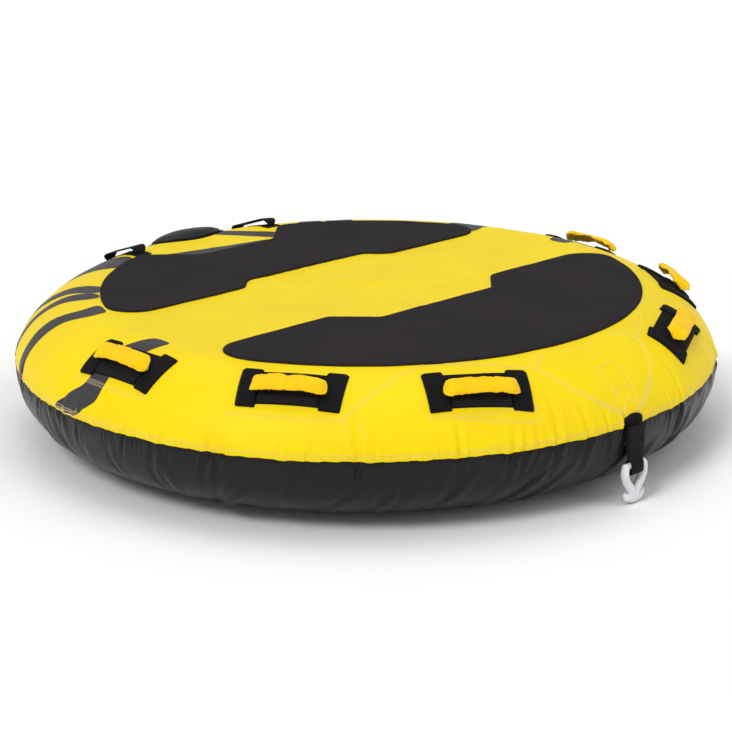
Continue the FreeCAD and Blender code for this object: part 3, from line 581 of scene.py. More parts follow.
def piece_from(name, points, faces, material, flat=None):
    """A mesh object; flat gives each vertex its place on the flat cloth, as UVs in metres."""
    mesh = bpy.data.meshes.new(name)
    mesh.from_pydata(np.asarray(points).tolist(), [], [tuple(face) for face in faces])
    if flat is not None:
        corner = np.zeros(len(mesh.loops), np.int64)
        mesh.loops.foreach_get("vertex_index", corner)
        layer = mesh.uv_layers.new(name="cloth")
        layer.data.foreach_set("uv", np.asarray(flat, np.float32)[corner].ravel())
    mesh.materials.append(material)
    mesh.polygons.foreach_set("use_smooth", [True] * len(mesh.polygons))
    mesh.update()
    piece = bpy.data.objects.new(name, mesh)
    bpy.context.scene.collection.objects.link(piece)
    return piece


def fit(piece, body, slot, *nodes):
    """Put a piece on its body and hide the CAD nodes that it stands for; slot is not used."""
    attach(piece, body)
    if nodes:
        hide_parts(*nodes)


def grid_faces(rows, columns, wrap=False, flip=False):
    """Quads of a grid of points, row by row."""
    across = columns if wrap else columns - 1
    row, column = np.meshgrid(np.arange(rows - 1), np.arange(across), indexing="ij")
    nxt = (column + 1) % columns
    quads = np.stack([row * columns + column, row * columns + nxt,
                      (row + 1) * columns + nxt, (row + 1) * columns + column], axis=-1).reshape(-1, 4)
    return quads[:, ::-1] if flip else quads


def tube_faces(rings, sides, flip=False):
    """Faces of a row of rings, closed at both ends."""
    faces = grid_faces(rings, sides, wrap=True).tolist()
    faces.append(list(range(sides))[::-1])
    faces.append([(rings - 1) * sides + index for index in range(sides)])
    return [face[::-1] for face in faces] if flip else faces


def resampled(path, spacing, closed=False):
    """A polyline with evenly spaced points."""
    path = np.asarray(path, float)
    if closed:
        path = np.vstack([path, path[:1]])
    steps = np.linalg.norm(np.diff(path, axis=0), axis=1)
    run = np.append(0, np.cumsum(steps))
    count = max(int(round(run[-1] / spacing)), 2)
    marks = np.linspace(0, run[-1], count + 1)
    if closed:
        marks = marks[:-1]
    return np.stack([np.interp(marks, run, path[:, axis]) for axis in range(path.shape[1])], axis=-1)


def curve_through(points):
    """A smooth line through a few developed points."""
    points = np.asarray(points, float)
    padded = np.vstack([2 * points[0] - points[1], points, 2 * points[-1] - points[-2]])
    line = []
    for index in range(len(points) - 1):
        p0, p1, p2, p3 = padded[index:index + 4]
        for t in np.linspace(0, 1, CURVE_STEPS, endpoint=False):
            line.append(0.5 * ((2 * p1) + (p2 - p0) * t + (2 * p0 - 5 * p1 + 4 * p2 - p3) * t ** 2
                               + (3 * p1 - p0 - 3 * p2 + p3) * t ** 3))
    line.append(points[-1])
    return resampled(line, RUN_STEP)


def rounded(corners, steps=6):
    """A closed outline: each corner is (x, y, rounding radius)."""
    outline = []
    count = len(corners)
    for index, (x, y, radius) in enumerate(corners):
        here = np.array([x, y])
        before = np.array(corners[index - 1][:2]) - here
        after = np.array(corners[(index + 1) % count][:2]) - here
        if radius <= 0:
            outline.append(here)
            continue
        before_length, after_length = np.linalg.norm(before), np.linalg.norm(after)
        cosine = np.dot(before, after) / before_length / after_length
        half = math.acos(max(min(cosine, 0.9999), -0.9999)) / 2
        cut = min(radius / math.tan(half), 0.49 * before_length, 0.49 * after_length)
        start, end = here + before / before_length * cut, here + after / after_length * cut
        for t in np.linspace(0, 1, steps):
            outline.append((1 - t) ** 2 * start + 2 * t * (1 - t) * here + t ** 2 * end)
    return np.array(outline)


def edge_distance(points, outline):
    """Distance of points from a closed polyline."""
    start, end = outline, np.roll(outline, -1, axis=0)
    span = end - start
    best = np.full(len(points), 1e9)
    for s, v in zip(start, span):
        length = max(float(v @ v), 1e-18)
        t = (((points - s) @ v) / length).clip(0, 1)
        best = np.minimum(best, np.linalg.norm(points - s - t[:, None] * v, axis=1))
    return best


def inside(points, outline):
    """Which points a closed polyline encloses."""
    x, y = points[:, 0], points[:, 1]
    result = np.zeros(len(points), bool)
    for (x0, y0), (x1, y1) in zip(outline, np.roll(outline, -1, axis=0)):
        crosses = (y0 > y) != (y1 > y)
        reach = (x1 - x0) * (y - y0) / ((y1 - y0) if y1 != y0 else 1e-12) + x0
        result ^= crosses & (x < reach)
    return result


def sideways(tangent):
    """Unit directions a quarter turn to the left of flat tangents."""
    return np.stack([-tangent[:, 1], tangent[:, 0]], axis=-1) / np.linalg.norm(tangent, axis=1)[:, None]


def inward_directions(ring, probe):
    """Unit directions into a closed polyline at its points; probe is a step that stays inside."""
    inward = sideways(np.roll(ring, -1, axis=0) - np.roll(ring, 1, axis=0))
    return inward if inside(ring[:1] + inward[:1] * probe, ring)[0] else -inward


def flat_panel(outline, spacing, rim=0.0):
    """Triangles over a closed developed outline, finer at the rim: points, triangles, rim distance."""
    ring = resampled(outline, spacing, closed=True)
    count = len(ring)
    inward = inward_directions(ring, spacing * 0.1)
    points = [ring]
    for share in ((0.12, 0.35, 0.7, 1.0) if rim else ()):
        inner = ring + inward * rim * share
        clear = inside(inner, ring) & (edge_distance(inner, ring) > 0.93 * rim * share)
        points.append(inner[clear])
    low, high = ring.min(axis=0), ring.max(axis=0)
    xs, ys = np.arange(low[0], high[0], spacing), np.arange(low[1], high[1], spacing)
    grid = np.stack(np.meshgrid(xs, ys), axis=-1).reshape(-1, 2)
    grid = grid[inside(grid, ring)]
    grid = grid[edge_distance(grid, ring) > rim + 0.55 * spacing]
    points = np.vstack(points + [grid])
    edges = [(index, (index + 1) % count) for index in range(count)]
    found = delaunay_2d_cdt([Vector(point) for point in points], edges, [], 1, 1e-7)
    points = np.array([tuple(vertex) for vertex in found[0]])
    triangles = [tuple(face) for face in found[2]]
    return points, triangles, edge_distance(points, ring)


def boundary_edges(faces):
    """The directed edges that only one face has."""
    directed = {}
    for face in faces:
        for index, start in enumerate(face):
            directed[(start, face[(index + 1) % len(face)])] = True
    return [edge for edge in directed if (edge[1], edge[0]) not in directed]


def plate(name, outline, low, high, material, rim, spacing, crown=0.0, crown_reach=0.03):
    """A plate on the upper cover with a rounded edge: developed outline, lifts of its foot and top."""
    flat, faces, distance = flat_panel(outline, spacing, rim)
    share = np.sqrt(1 - (1 - (distance / rim).clip(0, 1)) ** 2)
    dome = crown * (1 - (1 - (distance / crown_reach).clip(0, 1)) ** 2)
    rounding = (1 - EDGE_FOOT_SHARE) * (high - low) * share
    lift = low + EDGE_FOOT_SHARE * (high - low) + rounding + dome
    top = laid(flat, lift)
    rim_edges = boundary_edges(faces)
    skirt_of = {}
    skirt_flat = []
    for start, _ in rim_edges:
        skirt_of[start] = len(flat) + len(skirt_flat)
        skirt_flat.append(flat[start])
    skirt = laid(np.array(skirt_flat), low)
    faces = faces + [(end, start, skirt_of[start], skirt_of[end]) for start, end in rim_edges
                     if start in skirt_of and end in skirt_of]
    return piece_from(name, np.vstack([top, skirt]), faces, material,
                      flat=np.vstack([flat, skirt_flat]))


def cloth_panel(name, outline, lift, material):
    """A single layer of cloth laid on the upper cover."""
    flat, faces, _ = flat_panel(outline, CLOTH_SPACING)
    return piece_from(name, laid(flat, lift), faces, material, flat=flat)


STITCH_SIDES = 4
STITCH_LIFT = 0.0004
DOUBLE_ROW_GAP = 0.006
FINE_STITCH = {"length": 0.003, "radius": 0.0004, "pitch": 0.0042}


def stitch_mesh(runs, length, radius, pitch):
    """Small thread dashes along runs of (points, normals): points and faces."""
    points, faces = [], []
    for path, normals in runs:
        both = resampled(np.hstack([path, normals]), pitch)
        centre = (both[:-1, :3] + both[1:, :3]) / 2
        tangent = both[1:, :3] - both[:-1, :3]
        tangent /= np.linalg.norm(tangent, axis=1)[:, None]
        normal = both[:-1, 3:] / np.linalg.norm(both[:-1, 3:], axis=1)[:, None]
        side = np.cross(tangent, normal)
        for middle, t, n, b in zip(centre, tangent, normal, side):
            base = len(points)
            for shift, width in ((-0.5, 0.45), (0.0, 1.0), (0.5, 0.45)):
                for corner in range(STITCH_SIDES):
                    angle = 2 * math.pi * (corner + 0.5) / STITCH_SIDES
                    points.append(middle + t * length * shift + radius * width
                                  * (math.cos(angle) * b + math.sin(angle) * n * 0.8))
            for ring in range(2):
                for corner in range(STITCH_SIDES):
                    nxt = (corner + 1) % STITCH_SIDES
                    a = base + ring * STITCH_SIDES
                    faces.append((a + corner, a + nxt, a + STITCH_SIDES + nxt, a + STITCH_SIDES + corner))
            faces.append(tuple(base + corner for corner in reversed(range(STITCH_SIDES))))
            faces.append(tuple(base + 2 * STITCH_SIDES + corner for corner in range(STITCH_SIDES)))
    return points, faces


def stitching(name, runs, material, length=0.0034, radius=0.0005, pitch=0.0046):
    """One piece of many stitches."""
    points, faces = stitch_mesh(runs, length, radius, pitch)
    return piece_from(name, points, faces, material)


def cover_run(flat_path, lift=STITCH_LIFT):
    """A stitch run along a developed line on the upper cover."""
    flat = resampled(flat_path, RUN_STEP)
    azimuth, arc = polar(flat)
    return laid(flat, lift), cover_normal(UPPER, azimuth, arc)


def closed_run(loop, lift):
    """A stitch run round a closed developed line."""
    return cover_run(np.vstack([loop, loop[:1]]), lift)


def double_run(points):
    """Two parallel stitch runs along a smooth developed line."""
    line = curve_through(points) if len(points) > 2 else resampled(points, RUN_STEP)
    side = sideways(np.gradient(line, axis=0))
    return [cover_run(line + side * DOUBLE_ROW_GAP / 2), cover_run(line - side * DOUBLE_ROW_GAP / 2)]


# ------------------------------------------------------------------ covers, seam, stripes

VALVE_ARC = UPPER.arc_at_radius(VALVE_RADIUS)
VALVE_HOLE_RADIUS = 0.0335
CENTRE_RING_RADIUS = 0.02
SEAM_TAPE_REACH = 0.012
SEAM_TAPE_PLY = 0.0012


def half_cover(name, wall, flat_rings, material):
    """One half of the cover as a single layer of cloth, with a hole for the valve in the upper one."""
    wall_rings = int((wall.seam_arc - wall.flat_arc) / WALL_RING_SPACING)
    arcs = np.append(np.linspace(CENTRE_RING_RADIUS, wall.flat_arc, flat_rings, endpoint=False),
                     np.linspace(wall.flat_arc, wall.seam_arc, wall_rings))
    azimuths = np.arange(COVER_COLUMNS) * 360 / COVER_COLUMNS
    arc, azimuth = np.meshgrid(arcs, azimuths, indexing="ij")
    points = on_cover(wall, azimuth, arc).reshape(-1, 3)
    turn = np.radians(azimuth)
    flat = np.stack([arc * np.cos(turn), arc * np.sin(turn)], axis=-1).reshape(-1, 2)
    faces = grid_faces(len(arcs), COVER_COLUMNS, wrap=True, flip=wall is UPPER)
    if wall is UPPER:
        middle = flat[faces].mean(axis=1)
        faces = faces[np.hypot(middle[:, 0], middle[:, 1] - VALVE_ARC) > VALVE_HOLE_RADIUS]
    centre = len(points)
    points = np.vstack([points, [[0, 0, wall.height[0]]]])
    flat = np.vstack([flat, [[0, 0]]])
    fan = [(i, (i + 1) % COVER_COLUMNS, centre) for i in range(COVER_COLUMNS)]
    if wall is not UPPER:
        fan = [face[::-1] for face in fan]
    return piece_from(name, points, [tuple(face) for face in faces.tolist()] + fan, material, flat=flat)


def make_covers():
    """The yellow upper and the black lower half of the cover, each from one round of cloth."""
    for half, wall, rings, material, slot in (("top", UPPER, DECK_RINGS, YELLOW, "nylon_yellow"),
                                              ("bottom", LOWER, BASE_RINGS, BLACK, "nylon_black")):
        cloth = half_cover(f"cover_{half}_cloth", wall, rings, material)
        fit(cloth, "tube", slot, f"cover_{half}")


def make_seam_tape():
    """The binding inside the seam, which follows the gathered cloth."""
    azimuth = np.arange(COVER_COLUMNS) * 360 / COVER_COLUMNS
    reach, under = SEAM_TAPE_REACH, -SEAM_TAPE_PLY
    rows = []
    for wall, offset in ((UPPER, reach), (UPPER, reach / 2), (UPPER, 0), (LOWER, reach / 2), (LOWER, reach)):
        rows.append(on_cover(wall, azimuth, wall.seam_arc - offset, under))
    for wall, offset in ((LOWER, reach), (LOWER, 0), (UPPER, reach / 2), (UPPER, reach)):
        rows.append(on_cover(wall, azimuth, wall.seam_arc - offset, under - SEAM_TAPE_PLY))
    points = np.stack(rows).reshape(-1, 3)
    faces = grid_faces(len(rows), COVER_COLUMNS, wrap=True)
    tape = piece_from("seam_binding", points, faces.tolist(), BLACK, flat=points[:, :2])
    fit(tape, "tube", "nylon_black", "seam_tape")


SEAM_MARGIN = 0.0015
STRIPE_LIFT = 0.00035
STRIPE_STEP = 0.006
STRIPE_SMOOTHINGS = 6
SLANTED_FILL = 0.31     # a stripe that fills less of its upright box than this lies at a slant
STRIPE_FILL = 0.5

# Printed stripes: developed outlines in millimetres. They taper and fork, and run off under the
# pads, the handles or the seam. These are the right side's, and the side pair is on the left too.
STRIPES = {
    "side_inner": [(-668, 30), (-581, -14), (-583, -68), (-668, -40)],
    "side_outer": [(-706, 22), (-751, 24), (-812, 112), (-821, 27), (-800, 1), (-777, -31), (-706, -29)],
    "low": [(-742, 357), (-723, 362), (-679, 360), (-633, 347), (-602, 326), (-576, 285), (-560, 267),
            (-520, 262), (-540, 205), (-576, 213), (-597, 239), (-617, 270), (-653, 296), (-700, 314),
            (-753, 326), (-764, 310)],
    "fork_outer": [(-480, 312), (-504, 311), (-524, 342), (-540, 378), (-566, 409), (-591, 435), (-633, 450),
                   (-676, 470), (-655, 500), (-615, 486), (-581, 466), (-550, 452), (-519, 418), (-498, 388),
                   (-484, 352), (-470, 345)],
    "fork_inner": [(-484, 352), (-490, 388), (-500, 425), (-516, 466), (-534, 507), (-560, 560), (-592, 572),
                   (-560, 600), (-530, 580), (-504, 530), (-478, 490), (-462, 452), (-450, 416), (-436, 383),
                   (-425, 372), (-455, 340)],
    "thick": [(-290, 470), (-303, 483), (-328, 494), (-364, 520), (-385, 545), (-410, 600), (-440, 690),
              (-330, 752), (-290, 680), (-240, 600), (-227, 548), (-245, 505), (-255, 480)],
}
REAR_STRIPES = {
    "notch_wedge": [(-186, 512), (-86, 489), (6, 468), (122, 450), (140, 428), (-46, 436), (-70, 446),
                    (-109, 448), (-182, 480)],
    "valve_band": [(128, 458), (138, 452), (176, 488), (89, 590), (70, 640), (20, 700), (-30, 790),
                   (-75, 800), (-30, 700), (10, 620), (57, 564)],
    "band_one": [(255, 515), (300, 480), (338, 521), (420, 610), (470, 660), (440, 680), (380, 640),
                 (294, 550)],
    "band_two": [(308, 482), (362, 440), (401, 475), (470, 530), (545, 596), (515, 622), (440, 580),
                 (350, 513)],
}
SIDE_BAND = [(480, 262), (506, 262), (566, 272), (640, 312), (752, 330), (772, 285), (668, 240), (600, 196),
             (520, 168), (490, 176)]


def polygon_area(outline):
    """The area that a closed flat outline encloses."""
    x, y = outline[:, 0], outline[:, 1]
    return abs(float(np.dot(x, np.roll(y, 1)) - np.dot(y, np.roll(x, 1)))) / 2


def stripe(name, corners):
    """A printed stripe between smooth edges, kept just inside the seam."""
    outline = resampled(np.array(corners, float) / MM_PER_METRE, STRIPE_STEP, closed=True)
    for _ in range(STRIPE_SMOOTHINGS):
        outline = (np.roll(outline, 1, axis=0) + 2 * outline + np.roll(outline, -1, axis=0)) / 4
    reach = np.hypot(outline[:, 0], outline[:, 1])
    limit = UPPER.seam_arc - SEAM_MARGIN
    outline *= (np.minimum(reach, limit) / reach)[:, None]
    piece = cloth_panel("stripe_" + name, outline, STRIPE_LIFT, STRIPE)
    fit(piece, "tube", "nylon_black")
    area = polygon_area(outline)
    across = outline.max(axis=0) - outline.min(axis=0)
    if area < SLANTED_FILL * across[0] * across[1]:
        # the upright box is too big for a slanted stripe, so its flat size is a smaller estimate
        across = across * math.sqrt(area / across[0] / across[1] / STRIPE_FILL)


def make_stripes():
    """All the printed stripes of the upper cover."""
    for name, corners in STRIPES.items():
        stripe(name + "_right", corners)
    for name, corners in REAR_STRIPES.items():
        stripe(name, corners)
    stripe("side_band_left", SIDE_BAND)
    for name in ("side_inner", "side_outer"):
        stripe(name + "_left", [(-x, y) for x, y in STRIPES[name]])


# ------------------------------------------------------------------ deck pads

PAD_LIFT = 0.005
PAD_RIM = 0.0035
PAD_FOOT = -0.0004
PAD_SPACING = 0.011
PAD_STITCH_INSET = 0.0075
PAD_STITCH_CLEARANCE = 0.007
PAD_END_ROUND = 0.066
PAD_JOG_ROUND = 0.030


def arc_line(centre, radius, start, end, count):
    """Points of an arc, angles in degrees."""
    angles = np.radians(np.linspace(start, end, count))
    return np.stack([centre[0] + radius * np.cos(angles), centre[1] + radius * np.sin(angles)], axis=-1)


def mirrored(right):
    """A closed outline from its right half, drawn from the middle line round to the middle line."""
    right = np.asarray(right)
    left = right[::-1] * np.array([-1, 1])
    return np.vstack([right, left])


def pad_end(radius, centre_y):
    """The centre of a pad's end rounding, and the azimuth where it meets the outer circle."""
    centre_x = math.sqrt((radius - PAD_END_ROUND) ** 2 - centre_y ** 2)
    return (centre_x, centre_y), math.degrees(math.atan2(centre_y, centre_x))


def front_pad_outline():
    """The front pad: an arc in front and a straight rear edge with a step in its middle."""
    radius, edge, middle, half = 0.600, -0.147, -0.222, 0.165
    jog = edge - middle
    centre, meet = pad_end(radius, edge - PAD_END_ROUND)
    step = rounded([(0.0, middle, 0), (half, middle, PAD_JOG_ROUND), (half + jog, edge, PAD_JOG_ROUND),
                    (centre[0], edge, 0), (0.0, edge - 1, 0)])[:-2]
    return mirrored(np.vstack([step, arc_line(centre, PAD_END_ROUND, 90, meet, 12),
                               arc_line((0, 0), radius, meet, -90, 40)[1:]]))


def rear_pad_outline():
    """The rear pad: a stepped front edge, and a notch for the valve between two lobes."""
    radius, edge, middle, half = 0.575, 0.150, 0.194, 0.172
    notch, notch_half, lobe_round, notch_round, notch_side = 0.438, 0.110, 0.045, 0.05, 0.04
    jog = middle - edge
    centre, meet = pad_end(radius, edge + PAD_END_ROUND)
    # the lobe's rounding touches the outer circle and the notch's slanted side
    offset = notch - notch_half - lobe_round * math.sqrt(2)
    lobe_x = (-offset + math.sqrt(2 * (radius - lobe_round) ** 2 - offset ** 2)) / 2
    lobe = (lobe_x, lobe_x + offset)
    lobe_meet = math.degrees(math.atan2(lobe[1], lobe[0]))
    notch_line = rounded([(0.0, notch, 0), (notch_half, notch, notch_round),
                          (notch_half + notch_side, notch + notch_side, 0), (0.0, notch + 1, 0)])[:-2]
    step = rounded([(0.0, middle, 0), (half, middle, PAD_JOG_ROUND), (half + jog, edge, PAD_JOG_ROUND),
                    (centre[0], edge, 0), (0.0, edge + 1, 0)])[:-2]
    return mirrored(np.vstack([step, arc_line(centre, PAD_END_ROUND, -90, meet, 12),
                               arc_line((0, 0), radius, meet, lobe_meet, 30)[1:],
                               arc_line(lobe, lobe_round, lobe_meet, 135, 10)[1:], notch_line[::-1][1:]]))


def make_pads():
    """The two foam pads on the deck."""
    for name, outline in (("deck_pad_front", front_pad_outline()), ("deck_pad_rear", rear_pad_outline())):
        pad = plate(name + "_foam", outline, PAD_FOOT, PAD_LIFT, PAD_FOAM, rim=PAD_RIM, spacing=PAD_SPACING)
        fit(pad, "tube", "deck_foam", name)


# ------------------------------------------------------------------ handles

PATCH_HALF_LENGTH = 0.1035
PATCH_HALF_WIDTH = 0.042
BLOCK_LENGTH = 0.042
BLOCK_HALF_WIDTH = 0.048
BLOCK_LIFT = 0.0058
BLOCK_CROWN = 0.0007
BLOCK_SKEW = 0.0025
BLOCK_STITCH_INSET = 0.0055
PATCH_FOOT = -0.0003
PATCH_TOP = 0.0016
PATCH_BASE_INSET = 0.01
GUARD_HALF_LENGTH = 0.060
GUARD_SPAN = (0.003, 0.040)
GUARD_LIFT = 0.0090
GUARD_EDGE_REACH = 0.011
GUARD_ROWS = 3
GUARD_ROW_INSET = 0.0085
GUARD_STITCH_INSET = 0.006
CHANNEL_DEPTH = 0.0017
CHANNEL_HALF_WIDTH = 0.0016
GUARD_RIPPLE = 0.0005
GRIP_HALF_LENGTH = 0.0770
GRIP_TOP = 0.0360
GRIP_HALF_THICKNESS = 0.0078
GRIP_FOOT = 0.0078
GRIP_RADIUS = 0.0172
LEAN_RISE = 0.47       # the feet rise to their sides, so that a leaning grip clears its patch
PINCHED_HALF_THICKNESS = 0.0042
FLARE_MARGIN = 0.016
SLEEVE_INSET = 0.0008
SLEEVE_RINGS = 120
SLEEVE_SIDES = 52
SECTION_POWER = 2.8

# The cloth simulation that puffs a sleeve
CLOTH_JITTER = 0.00025
CLOTH_FRAMES = 20
CLOTH_SLACK = 0.10
SWELL_LIMIT = 0.0035
HELD_END = 0.95        # rings beyond this share of the half length are held

# How each grip was sewn: half width, foot half width, foot shift down the slope, seed, arch's lean
SLEEVE_SHAPES = {
    "right_side": (0.0200, 0.0090, 0.0050, 51, -0.0030),
    "right_middle": (0.0195, 0.0085, 0.0050, 52, 0.0010),
    "right_front": (0.0190, 0.0090, 0.0045, 53, 0.0010),
    "left_front": (0.0230, 0.0110, 0.0030, 54, 0.0),
    "left_middle": (0.0230, 0.0120, 0.0015, 55, -0.0030),
    "left_side": (0.0230, 0.0120, 0.0010, 56, 0.0),
}


def box_corners(low_along, high_along, low_slope, high_slope, rounding):
    """The four corners of a box on a place's axes, for rounded()."""
    return [(low_along, low_slope, rounding), (high_along, low_slope, rounding),
            (high_along, high_slope, rounding), (low_along, high_slope, rounding)]


def handle_patch(name, place):
    """The black base cloth and the two thicker end blocks, stitched round."""
    dice = random.Random(name)
    half_base = PATCH_HALF_LENGTH - PATCH_BASE_INSET
    corners = box_corners(-half_base, half_base, -PATCH_HALF_WIDTH, PATCH_HALF_WIDTH, 0.002)
    base = plate(f"{name}_base", place.outline(corners), PATCH_FOOT, PATCH_TOP, PATCH,
                 rim=0.0012, spacing=0.0055)
    fit(base, "tube", "patch_nylon", f"handle_{name}_patch")
    runs = []
    for side in (-1, 1):
        outer, inner = side * PATCH_HALF_LENGTH, side * (PATCH_HALF_LENGTH - BLOCK_LENGTH)
        skew = dice.uniform(-BLOCK_SKEW, BLOCK_SKEW)
        corners = [(inner, -BLOCK_HALF_WIDTH - skew, 0.0015), (outer, -BLOCK_HALF_WIDTH + skew, 0.0015),
                   (outer + skew, BLOCK_HALF_WIDTH + skew, 0.0015), (inner, BLOCK_HALF_WIDTH - skew, 0.0015)]
        block = plate(f"{name}_end_block_{'left' if side < 0 else 'right'}", place.outline(corners),
                      PATCH_FOOT, BLOCK_LIFT - 0.0008, PATCH, rim=0.0026, spacing=0.0045,
                      crown=BLOCK_CROWN, crown_reach=0.012)
        fit(block, "tube", "patch_nylon")
        inset = BLOCK_STITCH_INSET
        loop = place.outline(box_corners(min(outer, inner) + inset, max(outer, inner) - inset,
                                         -BLOCK_HALF_WIDTH + inset, BLOCK_HALF_WIDTH - inset, 0.002))
        runs.append(closed_run(loop, BLOCK_LIFT - 0.0006))
    fit(stitching(f"{name}_patch_stitches", runs, BLACK_THREAD), "tube", "patch_nylon")


def knuckle_guard(name, place):
    """A padded bar with sewn rows, where the knuckles rest."""
    low, high = GUARD_SPAN
    outline = place.outline(box_corners(-GUARD_HALF_LENGTH, GUARD_HALF_LENGTH, low, high, 0.005))
    flat, faces, distance = flat_panel(outline, 0.0028, 0.004)
    along, slope = place.local(flat)
    share = np.sqrt(1 - (1 - (distance / GUARD_EDGE_REACH).clip(0, 1)) ** 2)
    rows = np.linspace(low + GUARD_ROW_INSET, high - GUARD_ROW_INSET, GUARD_ROWS)
    channel = sum(np.exp(-((slope - row) / CHANNEL_HALF_WIDTH) ** 2) for row in rows)
    lift = PATCH_TOP + (GUARD_LIFT - PATCH_TOP) * share - CHANNEL_DEPTH * channel * share
    lift += GUARD_RIPPLE * np.sin(along * 700) * np.cos(slope * 260) * share
    guard = piece_from(f"{name}_guard_pad", laid(flat, lift), faces, GUARD, flat=flat)
    fit(guard, "tube", "guard_foam", f"handle_{name}_knuckle_guard")
    runs = []
    for row in rows:
        ends = [place.flat(a, row) for a in (-GUARD_HALF_LENGTH + GUARD_STITCH_INSET,
                                             GUARD_HALF_LENGTH - GUARD_STITCH_INSET)]
        runs.append(cover_run(ends, GUARD_LIFT - 0.0014))
    fit(stitching(f"{name}_guard_stitches", runs, BLACK_THREAD, **FINE_STITCH), "tube", "guard_foam")


def arch_path(half_length, top, foot, radius, count):
    """A standing arch in the along-out plane: points and outward directions."""
    knee = top - radius
    leg = [(-half_length, z) for z in np.linspace(foot, knee, 12, endpoint=False)]
    left = arc_line((-half_length + radius, knee), radius, 180, 90, 14)
    right = arc_line((half_length - radius, knee), radius, 90, 0, 14)
    down = [(half_length, z) for z in np.linspace(knee, foot, 12)[1:]]
    path = resampled(np.vstack([leg, left, right, down]), 0.0005)
    marks = np.linspace(0, len(path) - 1, count)
    path = np.stack([np.interp(marks, np.arange(len(path)), path[:, axis]) for axis in (0, 1)], axis=-1)
    tangent = np.gradient(path, axis=0)
    tangent /= np.linalg.norm(tangent, axis=1)[:, None]
    return path, np.stack([-tangent[:, 1], tangent[:, 0]], axis=-1)


def sleeve_points(half, foot_half, foot_shift, lean):
    """The grip's sleeve before it is puffed: rings of a flattened section, pinched at both feet."""
    path, out = arch_path(GRIP_HALF_LENGTH - GRIP_HALF_THICKNESS, GRIP_TOP - GRIP_HALF_THICKNESS, GRIP_FOOT,
                          GRIP_RADIUS, SLEEVE_RINGS)
    height = path[:, 1]
    rise = ((height - GRIP_FOOT) / (GRIP_TOP - GRIP_FOOT - FLARE_MARGIN)).clip(0, 1)
    ease = rise * rise * (3 - 2 * rise)
    half_width = foot_half + (half - SLEEVE_INSET - foot_half) * ease
    swell = GRIP_HALF_THICKNESS - SLEEVE_INSET - PINCHED_HALF_THICKNESS
    thickness = PINCHED_HALF_THICKNESS + swell * ease ** 0.7
    shift = foot_shift * (1 - ease) + lean * rise
    turn = np.linspace(0, 2 * math.pi, SLEEVE_SIDES, endpoint=False)
    across = np.sign(np.cos(turn)) * np.abs(np.cos(turn)) ** (2 / SECTION_POWER)
    deep = np.sign(np.sin(turn)) * np.abs(np.sin(turn)) ** (2 / SECTION_POWER)
    along = path[:, :1] + out[:, :1] * thickness[:, None] * deep
    slope = shift[:, None] + half_width[:, None] * across
    up = path[:, 1:] + out[:, 1:] * thickness[:, None] * deep
    up = up + np.abs(slope) * LEAN_RISE * (1 - ease)[:, None]
    return np.stack([along, slope, up], axis=-1)


def puffed(piece, held, seed):
    """Cloth simulation: the sleeve swells against its filling and its slack gathers into wrinkles."""
    rest = np.array([vertex.co for vertex in piece.data.vertices])
    dice = random.Random(seed)
    for vertex in piece.data.vertices:
        vertex.co += Vector([dice.uniform(-1, 1) * CLOTH_JITTER for _ in range(3)])
    piece.vertex_groups.new(name="held").add(held, 1.0, "REPLACE")
    cloth = piece.modifiers.new("Cloth", "CLOTH")
    settings = cloth.settings
    settings.quality = 6
    settings.mass = 0.12
    settings.tension_stiffness = 18
    settings.compression_stiffness = 18
    settings.shear_stiffness = 4
    settings.bending_stiffness = 0.05
    settings.use_pressure = True
    settings.uniform_pressure_force = 4.0
    settings.shrink_min = -CLOTH_SLACK
    settings.vertex_group_mass = "held"
    settings.effector_weights.gravity = 0
    cloth.collision_settings.use_collision = False
    for frame_number in range(1, CLOTH_FRAMES + 1):
        bpy.context.scene.frame_set(frame_number)
    shown = piece.evaluated_get(bpy.context.evaluated_depsgraph_get())
    moved = np.array([vertex.co for vertex in shown.data.vertices])
    piece.modifiers.remove(cloth)
    bpy.context.scene.frame_set(1)
    step = moved - rest
    length = np.linalg.norm(step, axis=1)
    step *= (np.minimum(length, SWELL_LIMIT) / np.maximum(length, 1e-9))[:, None]
    piece.data.vertices.foreach_set("co", (rest + step).astype(np.float32).ravel())
    piece.data.update()


def grip(name, place):
    """The padded grip: a cloth sleeve over foam, gathered along its lower edge."""
    half, foot_half, foot_shift, seed, lean = SLEEVE_SHAPES[name]
    rings = sleeve_points(half, foot_half, foot_shift, lean)
    faces = tube_faces(SLEEVE_RINGS, SLEEVE_SIDES)
    sleeve = piece_from(f"{name}_grip_sleeve", rings.reshape(-1, 3), faces, SLEEVE)
    sleeve.data.flip_normals()
    middle = np.abs(np.arange(SLEEVE_RINGS) - (SLEEVE_RINGS - 1) / 2) / (SLEEVE_RINGS / 2)
    held = [ring * SLEEVE_SIDES + side for ring in range(SLEEVE_RINGS) for side in range(SLEEVE_SIDES)
            if middle[ring] > HELD_END]
    puffed(sleeve, held, seed)
    gather(sleeve, seed)
    sleeve.matrix_world = place.matrix()
    smooth = sleeve.modifiers.new("Smooth", "SUBSURF")
    smooth.levels = smooth.render_levels = 1
    fit(sleeve, f"grip_{name}", "sleeve_yellow", f"handle_{name}_sleeve", f"handle_{name}_foam_core",
        f"handle_{name}_webbing")


def clamped(value):
    """A number brought to the range from 0 to 1."""
    return max(0.0, min(1.0, value))


